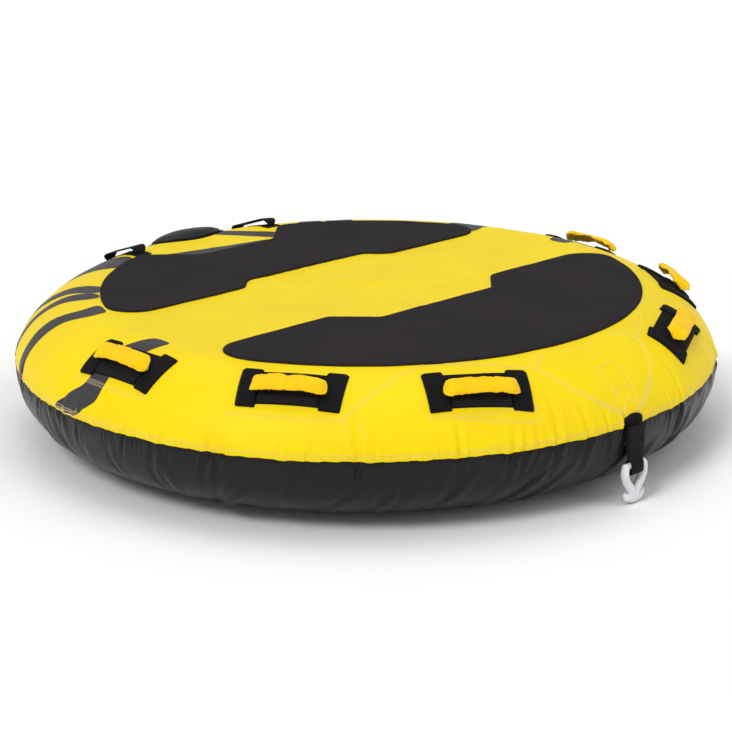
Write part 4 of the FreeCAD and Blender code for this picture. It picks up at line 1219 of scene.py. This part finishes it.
def gather(sleeve, seed):
    """Small gathers along the sleeve's outboard seam and across its underside."""
    dice = random.Random(seed + 100)
    waves = [(dice.uniform(380, 900), dice.uniform(0, 6.28), dice.uniform(0.3, 1.0)) for _ in range(7)]
    total = sum(weight for _, _, weight in waves)
    for vertex in sleeve.data.vertices:
        a, s, o = vertex.co
        edge = clamped((s - 0.006) / 0.014) * clamped((GRIP_TOP - 0.004 - o) / 0.012)
        under = clamped((GRIP_TOP - 2 * GRIP_HALF_THICKNESS + 0.006 - o) / 0.008)
        wave = sum(weight * math.sin(k * a + phase + 60 * s) for k, phase, weight in waves) / total
        vertex.co.z += 0.0034 * wave * edge + 0.0012 * wave * under * (1 - edge)
        vertex.co.y += 0.0014 * wave * edge
    sleeve.data.update()


def make_handles():
    """All six handles: patch, knuckle guard and grip."""
    for name, placing in HANDLES.items():
        place = Place(*placing)
        handle_patch(name, place)
        knuckle_guard(name, place)
        grip(name, place)


# ------------------------------------------------------------------ webbing straps

BAND_PROFILE = ((-1, 0), (-0.96, 0.8), (-0.5, 1), (0, 0.94), (0.5, 1), (0.96, 0.8),
                (1, 0), (0.96, -0.8), (0.5, -1), (0, -0.94), (-0.5, -1), (-0.96, -0.8))


def band(name, path, side, half_width, thickness, material):
    """A strap swept along a line: side is the direction across it, half_width one value per point."""
    path = np.asarray(path, float)
    tangent = np.gradient(path, axis=0)
    tangent /= np.linalg.norm(tangent, axis=1)[:, None]
    out = np.cross(tangent, side)
    out /= np.linalg.norm(out, axis=1)[:, None]
    side = np.cross(out, tangent)
    run = np.append(0, np.cumsum(np.linalg.norm(np.diff(path, axis=0), axis=1)))
    half_width = np.broadcast_to(half_width, len(path))[:, None]
    points, flat = [], []
    for share, high in BAND_PROFILE:
        points.append(path + side * half_width * share + out * thickness / 2 * high)
        flat.append(np.stack([half_width[:, 0] * share, run], axis=-1))
    return piece_from(name, np.stack(points, axis=1).reshape(-1, 3),
                      tube_faces(len(path), len(BAND_PROFILE)), material,
                      flat=np.stack(flat, axis=1).reshape(-1, 2))


REAR_STRAP_X = 0.195
REAR_STRAP_Y = 0.612
REAR_PATCH_HALF_LENGTH = 0.080
REAR_PATCH_HALF_WIDTH = 0.022
REAR_STRAP_HALF_LENGTH = 0.0678
REAR_STRAP_TOP = 0.0112
REAR_STRAP_FOOT = -0.0070
REAR_STRAP_HALF_WIDTH = 0.019
REAR_STRAP_THICKNESS = 0.0028
REAR_STRAP_BEND = 0.0165
REAR_STRAP_POINTS = 70
REAR_STRAP_FOOT_HALF_WIDTH = 0.007
REAR_STRAP_FLARE = 0.014
REAR_STITCH_HALF_LENGTH = 0.076
REAR_STITCH_HALF_WIDTH = 0.0185


def rear_strap_place(side):
    """A place beside the valve whose along axis runs aft."""
    azimuth = math.degrees(math.atan2(REAR_STRAP_Y, side * REAR_STRAP_X))
    place = Place(azimuth, math.hypot(REAR_STRAP_X, REAR_STRAP_Y))
    rim = place.matrix()
    along, slope = rim.col[0].to_3d(), rim.col[1].to_3d()
    place.turn = math.atan2(slope.y, along.y)
    return place


def make_rear_strap(name, side):
    """A webbing grab strap in a low arch over its sewn patch."""
    place = rear_strap_place(side)
    long, wide = REAR_PATCH_HALF_LENGTH, REAR_PATCH_HALF_WIDTH
    patch = plate(f"rear_{name}_strap_patch", place.outline(box_corners(-long, long, -wide, wide, 0.002)),
                  PATCH_FOOT, 0.0014, PATCH, rim=0.0012, spacing=0.005)
    fit(patch, "tube", "patch_nylon", f"rear_strap_{name}_patch")
    arch, _ = arch_path(REAR_STRAP_HALF_LENGTH, REAR_STRAP_TOP, REAR_STRAP_FOOT, REAR_STRAP_BEND,
                        REAR_STRAP_POINTS)
    rise = ((arch[:, 1] - REAR_STRAP_FOOT) / REAR_STRAP_FLARE).clip(0, 1)
    half_width = (REAR_STRAP_FOOT_HALF_WIDTH
                  + (REAR_STRAP_HALF_WIDTH - REAR_STRAP_FOOT_HALF_WIDTH) * rise ** 0.7)
    path = np.stack([arch[:, 0], 0 * rise, arch[:, 1]], axis=-1)
    strap = band(f"rear_{name}_strap", path, (0, 1, 0), half_width, REAR_STRAP_THICKNESS, WEBBING)
    strap.matrix_world = place.matrix()
    fit(strap, f"rear_strap_{name}", "webbing_black", f"rear_strap_{name}_webbing")
    loop = place.outline(box_corners(-REAR_STITCH_HALF_LENGTH, REAR_STITCH_HALF_LENGTH,
                                     -REAR_STITCH_HALF_WIDTH, REAR_STITCH_HALF_WIDTH, 0.002))
    sewing = stitching(f"rear_{name}_strap_stitches", [closed_run(loop, 0.0015)], BLACK_THREAD)
    fit(sewing, "tube", "patch_nylon")


# ------------------------------------------------------------------ tow point

TOW_Y = -0.766
TOW_TAB_HALF_WIDTH = 0.0285
TOW_TAB_RISE = 0.023
TOW_TAB_LIFT = 0.0026
STRAP_HALF_WIDTH = 0.0262
STRAP_LOOP_HALF_WIDTH = 0.0182
STRAP_PLY = 0.0022
STRAP_PLY_GAP = 0.0013
STRAP_TOP = 0.1615
LOOP_RADIUS = 0.0083
LOOP_FOLD_HEIGHT = 0.0692
PLIES_PART_HEIGHT = 0.096
PLIES_PARTING = 0.014
STRAP_TAPER = (0.088, 0.026)          # the height where it starts, and its length
STRAP_STEP = 0.0022
STRAP_BOX_HALF_WIDTH = 0.019
STRAP_BOX_HEIGHTS = (0.118, 0.150)
TOW_TAB_STITCH_INSET = 0.0028
TOW_ANCHOR_HALF_WIDTH = 0.029
TOW_ANCHOR_ENDS = (-0.808, -0.732)
TOW_ANCHOR_LIFTS = (-0.0036, -0.0014)


def make_tow_tab():
    """The half-oval tab that covers the strap's root, and the webbing anchored under the cover."""
    low = UPPER.seam_arc - 0.0008
    middle = UPPER.seam_arc - TOW_TAB_RISE / 2
    turn = np.linspace(0, math.pi, 16)
    crown = np.stack([TOW_TAB_HALF_WIDTH * np.cos(turn), -middle + TOW_TAB_RISE / 2 * np.sin(turn)], axis=-1)
    outline = np.vstack([[(-TOW_TAB_HALF_WIDTH, -low), (TOW_TAB_HALF_WIDTH, -low)], crown])
    tab = plate("tow_tab_cloth", outline, PATCH_FOOT, TOW_TAB_LIFT, PATCH, rim=0.002, spacing=0.003)
    fit(tab, "tube", "patch_nylon", "tow_tab")
    edge = np.stack([0.88 * crown[:, 0], crown[:, 1] - TOW_TAB_STITCH_INSET], axis=-1)
    sewing = stitching("tow_tab_stitches", [cover_run(edge, TOW_TAB_LIFT + 0.0002)], BLACK_THREAD)
    fit(sewing, "tube", "patch_nylon")
    front, back = TOW_ANCHOR_ENDS
    half = TOW_ANCHOR_HALF_WIDTH
    anchor = plate("tow_anchor_band", np.array([(-half, front), (half, front), (half, back), (-half, back)]),
                   *TOW_ANCHOR_LIFTS, WEBBING, rim=0.001, spacing=0.004)
    fit(anchor, "tube", "webbing_black", "tow_anchor_webbing")


def tow_strap_line():
    """The strap's line in the plane of the tow point: (y, z) down the back ply, round and up the front."""
    heights = np.linspace(STRAP_TOP, PLIES_PART_HEIGHT, 24)
    back = [(TOW_Y + STRAP_PLY_GAP, z) for z in heights]
    spread = [(TOW_Y + STRAP_PLY_GAP + (LOOP_RADIUS - STRAP_PLY_GAP) * share,
               PLIES_PART_HEIGHT - PLIES_PARTING * t)
              for t, share in ((t, t * t * (3 - 2 * t)) for t in np.linspace(0.1, 1.0, 9))]
    fold = arc_line((TOW_Y, LOOP_FOLD_HEIGHT), LOOP_RADIUS, 0, -180, 16)
    front = [(2 * TOW_Y - y, z) for y, z in (back + spread)[::-1]]
    return resampled(np.vstack([back, spread, fold, front]), STRAP_STEP)


def make_tow_strap():
    """Two plies of webbing from the seam, looped through the eye of the hook and gathered there."""
    line = tow_strap_line()
    height = line[:, 1]
    taper = ((height - STRAP_TAPER[0]) / STRAP_TAPER[1]).clip(0, 1)
    flare = STRAP_HALF_WIDTH - STRAP_LOOP_HALF_WIDTH
    half_width = STRAP_LOOP_HALF_WIDTH + flare * taper * taper * (3 - 2 * taper)
    path = np.stack([0 * height, line[:, 0], height], axis=-1)
    strap = band("tow_strap_webbing", path, (1, 0, 0), half_width, STRAP_PLY, WEBBING)
    fit(strap, "tow_strap", "webbing_black", "tow_strap")
    front_y = TOW_Y - STRAP_PLY_GAP - STRAP_PLY / 2 - 0.0001
    low, high = STRAP_BOX_HEIGHTS
    half = STRAP_BOX_HALF_WIDTH
    box = [(-half, high), (half, high), (half, low), (-half, low), (-half, high), (half, low),
           (half, high), (-half, low)]
    runs = []
    for start, end in zip(box, box[1:]):
        leg = np.array([(start[0], front_y, start[1]), (end[0], front_y, end[1])])
        runs.append((leg, np.tile([0.0, -1.0, 0.0], (2, 1))))
    fit(stitching("tow_strap_stitches", runs, BLACK_THREAD, **FINE_STITCH), "tow_strap", "webbing_black")


# The hook's limbs: (x, z, half width, half thickness) along each
HOOK_ARM = (
    (0.0265, 0.0795, 0.0072, 0.0085), (0.0282, 0.0700, 0.0076, 0.0088), (0.0278, 0.0610, 0.0080, 0.0090),
    (0.0225, 0.0480, 0.0086, 0.0090), (0.0135, 0.0370, 0.0092, 0.0088), (0.0065, 0.0260, 0.0094, 0.0086),
    (0.0040, 0.0150, 0.0094, 0.0086))
HOOK_FOOT = (
    (-0.0262, 0.0225, 0.0040, 0.0044), (-0.0205, 0.0145, 0.0070, 0.0074),
    (-0.0105, 0.0122, 0.0092, 0.0088), (0.0, 0.0116, 0.0094, 0.0090), (0.0105, 0.0122, 0.0092, 0.0088),
    (0.0205, 0.0145, 0.0070, 0.0074), (0.0262, 0.0225, 0.0040, 0.0044))
HOOK_BAR = ((-0.0250, 0.0800, 0.0064, 0.0064), (0.0250, 0.0800, 0.0064, 0.0064))
LIMB_SIDES = 20
LIMB_STEP = 0.0016
HOOK_VOXEL = 0.0011
HOOK_SMOOTHINGS = 9


def limb(stations):
    """Points and faces of one closed limb of the hook, with round ends."""
    stations = resampled(stations, LIMB_STEP)
    tangent = np.gradient(stations[:, :2], axis=0)
    tangent /= np.linalg.norm(tangent, axis=1)[:, None]
    rings = []
    caps = [(0, -1, share) for share in (0.98, 0.85, 0.6)]
    body = [(index, 0, 0.0) for index in range(len(stations))]
    end = len(stations) - 1
    for index, direction, share in caps + body + [(end, 1, share) for share in (0.6, 0.85, 0.98)]:
        x, z, half, deep = stations[index]
        shrink = math.sqrt(1 - share ** 2)
        x += tangent[index, 0] * direction * share * half
        z += tangent[index, 1] * direction * share * half
        normal = (-tangent[index, 1], tangent[index, 0])
        for side in range(LIMB_SIDES):
            angle = 2 * math.pi * side / LIMB_SIDES
            wide, thick = half * shrink * math.cos(angle), deep * shrink * math.sin(angle)
            rings.append((x + normal[0] * wide, TOW_Y + thick, z + normal[1] * wide))
    return rings, tube_faces(len(rings) // LIMB_SIDES, LIMB_SIDES)


def make_tow_hook():
    """The moulded hook: limbs melted into one rounded form."""
    points, faces = [], []
    mirrored_arm = [(-x, z, half, deep) for x, z, half, deep in HOOK_ARM]
    for stations in (HOOK_ARM, mirrored_arm, HOOK_FOOT, HOOK_BAR):
        limb_points, limb_faces = limb(stations)
        base = len(points)
        points += limb_points
        faces += [[base + index for index in face] for face in limb_faces]
    hook = piece_from("tow_hook_moulding", points, faces, HOOK_PLASTIC)
    melt = hook.modifiers.new("Melt", "REMESH")
    melt.mode = "VOXEL"
    melt.voxel_size = HOOK_VOXEL
    melt.use_smooth_shade = True
    soften = hook.modifiers.new("Soften", "SMOOTH")
    soften.factor = 0.5
    soften.iterations = HOOK_SMOOTHINGS
    shown = hook.evaluated_get(bpy.context.evaluated_depsgraph_get())
    melted = bpy.data.meshes.new_from_object(shown)
    hook.modifiers.clear()
    hook.data = melted
    fit(hook, "tow_hook", "hook_plastic", "tow_hook")


# ------------------------------------------------------------------ valve cover and surround

FLAP_HALF_LENGTH = 0.097
FLAP_HALF_WIDTH = 0.054
FLAP_RISE = 0.0168
FLAP_FOOT = 0.0022
FLAP_SHELL = 0.0062
SURROUND_HALF_LENGTH = 0.105
SURROUND_HALF_WIDTH = 0.061
SURROUND_ROWS = 9
SURROUND_LIFTS = (0.0015, 0.0002)
FLAP_STITCH_SHARE = 0.86
FLAP_GROOVE = (0.0016, 0.02)           # the sewn groove's depth, and its width as a share
FLAP_QUILT = 0.0007
OVAL_COLUMNS = 120


def oval_rings(place, sizes):
    """Developed points of nested ovals, row by row; sizes are (half length, half width)."""
    turn = np.linspace(0, 2 * math.pi, OVAL_COLUMNS, endpoint=False)
    rows = [[place.flat(long * math.cos(t), wide * math.sin(t)) for t in turn] for long, wide in sizes]
    return np.array(rows).reshape(-1, 2)


def flap_size(share):
    """Half length and half width of the flap's oval at a share of its reach."""
    return share * FLAP_HALF_LENGTH, share * FLAP_HALF_WIDTH


def flap_dome(share):
    """Height of the flap's top over the cover."""
    return FLAP_FOOT + FLAP_RISE * np.maximum(1 - share ** 2.3, 0) ** 0.62


def make_valve_cover():
    """The padded oval flap over the valve: a domed shell, closed underneath, with a sewn rim."""
    place = Place(REAR_AZIMUTH, VALVE_RADIUS)
    outer = np.append(np.linspace(0.04, 0.9, 30), (0.93, 0.955, 0.975, 0.99, 1.0))
    depth, width = FLAP_GROOVE
    top = flap_dome(outer) - depth * np.exp(-((outer - FLAP_STITCH_SHARE) / width) ** 2)
    under = np.maximum(FLAP_FOOT, flap_dome(outer) - FLAP_SHELL)
    under[-1] = FLAP_FOOT
    shares = np.append(outer, outer[::-1][1:])
    lifts = np.repeat(np.append(top, under[::-1][1:]), OVAL_COLUMNS)
    flat = oval_rings(place, [flap_size(share) for share in shares])
    dice = random.Random(71)
    waves = [(dice.uniform(40, 110), dice.uniform(40, 110), dice.uniform(0, 6.28)) for _ in range(6)]
    quilt = sum(np.sin(a * flat[:, 0] + b * flat[:, 1] + phase) for a, b, phase in waves) / len(waves)
    points = laid(flat, lifts + FLAP_QUILT * quilt * (lifts > FLAP_FOOT + 0.001))
    faces = tube_faces(len(shares), OVAL_COLUMNS, flip=True)
    cover = piece_from("valve_cover_pad", points, faces, FLAP, flat=flat)
    fit(cover, "valve_cover", "flap_nylon", "valve_cover")
    rim = oval_rings(place, [flap_size(FLAP_STITCH_SHARE)])
    sewing = stitching("valve_cover_stitches", [closed_run(rim, flap_dome(FLAP_STITCH_SHARE) - 0.0011)],
                       BLACK_THREAD)
    fit(sewing, "valve_cover", "flap_nylon")


def make_valve_surround():
    """The reinforcing patch round the valve."""
    place = Place(REAR_AZIMUTH, VALVE_RADIUS)
    sizes = [[VALVE_HOLE_RADIUS + (half - VALVE_HOLE_RADIUS) * share
              for half in (SURROUND_HALF_LENGTH, SURROUND_HALF_WIDTH)]
             for share in np.linspace(0, 1, SURROUND_ROWS)]
    flat = oval_rings(place, sizes + sizes[::-1])
    lifts = np.repeat(SURROUND_LIFTS, SURROUND_ROWS * OVAL_COLUMNS)
    rows = 2 * SURROUND_ROWS
    last = (rows - 1) * OVAL_COLUMNS
    faces = grid_faces(rows, OVAL_COLUMNS, wrap=True, flip=True).tolist()
    faces += [[last + i, i, (i + 1) % OVAL_COLUMNS, last + (i + 1) % OVAL_COLUMNS]
              for i in range(OVAL_COLUMNS)]
    patch = piece_from("valve_surround_cloth", laid(flat, lifts), faces, PATCH, flat=flat)
    fit(patch, "tube", "patch_nylon", "valve_surround")


# ------------------------------------------------------------------ zipper

ZIPPER_TAPE_HALF = 0.0135
ZIPPER_TAPE_THICKNESS = 0.0005
ZIPPER_TAPE_OVERRUN = 0.08       # degrees past each end of the coil
ZIPPER_STITCH_ROWS = (-0.011, -0.008, 0.008, 0.011)
ZIPPER_TEETH_ROWS = (-0.0016, 0.0016)
ZIPPER_TOOTH = {"length": 0.0013, "radius": 0.0011, "pitch": 0.0021}


def lower_run(azimuths, arc, lift):
    """A stitch run round the lower wall."""
    arcs = np.full(len(azimuths), arc)
    return on_cover(LOWER, azimuths, arcs, lift), cover_normal(LOWER, azimuths, arcs)


def make_zipper():
    """The woven tape behind the coil, its sewn edges and the coil's teeth."""
    reach = ZIPPER_HALF_ANGLE + ZIPPER_TAPE_OVERRUN
    azimuths = np.linspace(REAR_AZIMUTH - reach, REAR_AZIMUTH + reach, 400)
    rows, flat = [], []
    for across, lift in ((-1, 0.0), (-1, ZIPPER_TAPE_THICKNESS), (1, ZIPPER_TAPE_THICKNESS), (1, 0.0)):
        arcs = np.full(len(azimuths), ZIPPER_ARC + across * ZIPPER_TAPE_HALF)
        rows.append(on_cover(LOWER, azimuths, arcs, lift))
        flat.append(np.stack([arcs, np.radians(azimuths) * TUBE_RADIUS], axis=-1))
    count = len(azimuths)
    faces = [[a * count + i, a * count + i + 1, b * count + i + 1, b * count + i]
             for a, b in ((0, 1), (1, 2), (2, 3), (3, 0)) for i in range(count - 1)]
    faces += [[0, count, 2 * count, 3 * count], [4 * count - 1, 3 * count - 1, 2 * count - 1, count - 1]]
    tape = piece_from("zipper_tape_cloth", np.vstack(rows), faces, WEBBING, flat=np.vstack(flat))
    fit(tape, "tube", "webbing_black", "zipper_tape")
    runs = [lower_run(azimuths, ZIPPER_ARC + offset, 0.0006) for offset in ZIPPER_STITCH_ROWS]
    fit(stitching("zipper_stitches", runs, BLACK_THREAD), "tube", "webbing_black")
    teeth = [lower_run(azimuths, ZIPPER_ARC + offset, 0.0010) for offset in ZIPPER_TEETH_ROWS]
    fit(stitching("zipper_teeth", teeth, ZIPPER_PLASTIC, **ZIPPER_TOOTH), "tube", "zipper_plastic")


# ------------------------------------------------------------------ sewing on the cover

# Sewn lines on the front of the upper cover, in developed millimetres, drawn for one side and mirrored
TOW_BOX = ((-25, -690), (30, -690), (30, -795), (-25, -795), (-25, -690))
TOW_BOX_BARS = (((-25, -745), (30, -745)), ((-25, -745), (30, -795)), ((30, -745), (-25, -795)))
SEWN_CURVES = (
    ((-20, -800), (-60, -770), (-100, -735)),
    ((-100, -606), (-146, -645), (-126, -700), (-95, -740), (-55, -778), (-22, -800)),
    ((-540, -515), (-430, -510), (-330, -508), (-300, -520), (-270, -545), (-180, -620), (-150, -645)),
    ((-370, -650), (-300, -700), (-230, -740)),
)
SEAM_ROWS = (0.008, 0.013)
RING_ARC = 0.741
RING_REACH = 9.0
RING_ROW_GAP = 0.006
STRIPE_BARS = ((-0.741, -0.027, 0.022), (-0.815, 0.030, 0.100))
STRIPE_BAR_OFFSET = 0.003
CREAM_STITCH = {"length": 0.0042, "radius": 0.00055, "pitch": 0.0052}
SEAM_STITCH = {"length": 0.0038, "radius": 0.0006, "pitch": 0.0056}
PAD_STITCH = {"length": 0.0036, "radius": 0.00045, "pitch": 0.005}


def arc_run(arc, low, high):
    """A stitch run at a constant distance from the axis, between two azimuths."""
    azimuths = np.arange(low, high, 0.3)
    arcs = np.full(len(azimuths), arc)
    return on_cover(UPPER, azimuths, arcs, STITCH_LIFT), cover_normal(UPPER, azimuths, arcs)


def make_cover_sewing():
    """The cream rows round the tow point and the handles and along the seam, and the stripes' bars."""
    runs = []
    for side in (-1, 1):
        for curve in SEWN_CURVES:
            runs += double_run(np.array(curve) * (-side, 1) / MM_PER_METRE)
    for start, end in list(zip(TOW_BOX, TOW_BOX[1:])) + list(TOW_BOX_BARS):
        runs.append(cover_run(np.array([start, end]) / MM_PER_METRE))
    for azimuth, *_ in HANDLES.values():
        for arc in (RING_ARC, RING_ARC + RING_ROW_GAP):
            runs.append(arc_run(arc, azimuth - RING_REACH, azimuth + RING_REACH))
    fit(stitching("cover_stitches", runs, CREAM_THREAD, **CREAM_STITCH), "tube", "nylon_yellow")
    rows = [arc_run(UPPER.seam_arc - row, 0, 360) for row in SEAM_ROWS]
    fit(stitching("seam_stitches", rows, CREAM_THREAD, **SEAM_STITCH), "tube", "nylon_yellow")
    bars = []
    for x, low, high in STRIPE_BARS:
        for shift in (-STRIPE_BAR_OFFSET, STRIPE_BAR_OFFSET):
            for side in (-1, 1):
                across = -side * (x + shift)
                bars.append(cover_run([(across, low), (across, high)], 0.0008))
    fit(stitching("stripe_stitches", bars, WHITE_THREAD, **CREAM_STITCH), "tube", "nylon_black")


def make_pad_sewing():
    """The sewn line inside each pad's edge."""
    runs = []
    for outline in (front_pad_outline(), rear_pad_outline()):
        ring = resampled(outline, RUN_STEP, closed=True)
        line = ring + inward_directions(ring, 0.002) * PAD_STITCH_INSET
        line = line[edge_distance(line, ring) > PAD_STITCH_CLEARANCE]
        runs.append(closed_run(line, PAD_LIFT + 0.0001))
    fit(stitching("pad_stitches", runs, BLACK_THREAD, **PAD_STITCH), "tube", "deck_foam")


# ------------------------------------------------------------------ stage, light, camera

VIEW_AZIMUTH = -43.0
VIEW_ELEVATION = 17.06
VIEW_DISTANCE = 4.416
VIEW_ROLL = -0.005
VIEW_TARGET_HEIGHT = 0.147
LENS = 98.5
SENSOR_WIDTH = 36.0
LENS_SHIFT = (0.0005, -0.0243)
FLOOR_GAP = 0.0008
FLOOR_HALF = 60.0
WORLD_STRENGTH = 0.50

# Soft distant lights: azimuth and elevation in degrees, strength, and width in degrees
SUNS = {
    "key": (190, 46, 1.30, 24),
    "fill": (300, 40, 0.45, 50),
    "top": (60, 75, 0.55, 40),
}


def make_camera():
    """The camera, off the front right of the tube."""
    data = bpy.data.cameras.new("camera")
    data.lens = LENS
    data.sensor_width = SENSOR_WIDTH
    data.shift_x, data.shift_y = LENS_SHIFT
    camera = bpy.data.objects.new("camera", data)
    bpy.context.scene.collection.objects.link(camera)
    azimuth, elevation = math.radians(VIEW_AZIMUTH), math.radians(VIEW_ELEVATION)
    back = Vector((math.sin(azimuth) * math.cos(elevation), -math.cos(azimuth) * math.cos(elevation),
                   math.sin(elevation)))
    target = Vector((0, 0, VIEW_TARGET_HEIGHT))
    camera.location = target + back * VIEW_DISTANCE
    turn = back.to_track_quat("Z", "Y").to_matrix().to_4x4() @ Matrix.Rotation(VIEW_ROLL, 4, "Z")
    camera.matrix_world = Matrix.Translation(camera.location) @ turn
    bpy.context.scene.camera = camera


def sun(name, azimuth, elevation, power, spread):
    """One of the lights."""
    data = bpy.data.lights.new(name, "SUN")
    data.energy = power
    data.angle = math.radians(spread)
    light = bpy.data.objects.new(name, data)
    turn, rise = math.radians(azimuth), math.radians(elevation)
    toward = Vector((math.cos(turn) * math.cos(rise), math.sin(turn) * math.cos(rise), math.sin(rise)))
    light.rotation_euler = toward.to_track_quat("Z", "Y").to_euler()
    bpy.context.scene.collection.objects.link(light)


def make_stage():
    """A plain pale floor and world, and the lights."""
    scene = bpy.context.scene
    scene.view_settings.view_transform = "Standard"
    world = bpy.data.worlds.new("studio")
    world.use_nodes = True
    background = world.node_tree.nodes["Background"]
    background.inputs["Color"].default_value = (1, 1, 1, 1)
    background.inputs["Strength"].default_value = WORLD_STRENGTH
    scene.world = world
    floor_cloth = Surface("studio_floor")
    grain = floor_cloth.noise(floor_cloth.coordinates("Object"), 3.0)
    pale = floor_cloth.ramp(grain, [(0.3, (0.97, 0.97, 0.97, 1)), (0.7, (0.99, 0.99, 0.99, 1))])
    floor_cloth.set(floor_cloth.shader, Roughness=0.9, Specular_IOR_Level=0.0, Base_Color=pale)
    half = FLOOR_HALF
    corners = [(x, y, -FLOOR_GAP) for x, y in ((-half, -half), (half, -half), (half, half), (-half, half))]
    floor = piece_from("floor", corners, [(0, 1, 2, 3)], floor_cloth.material)
    for name, light in SUNS.items():
        sun(name, *light)


make_camera()
make_stage()
finish_cad_nodes()
make_covers()
make_seam_tape()
make_stripes()
make_pads()
make_handles()
make_rear_strap("right", -1)
make_rear_strap("left", 1)
make_tow_tab()
make_tow_strap()
make_tow_hook()
make_valve_surround()
make_valve_cover()
make_zipper()
make_cover_sewing()
make_pad_sewing()
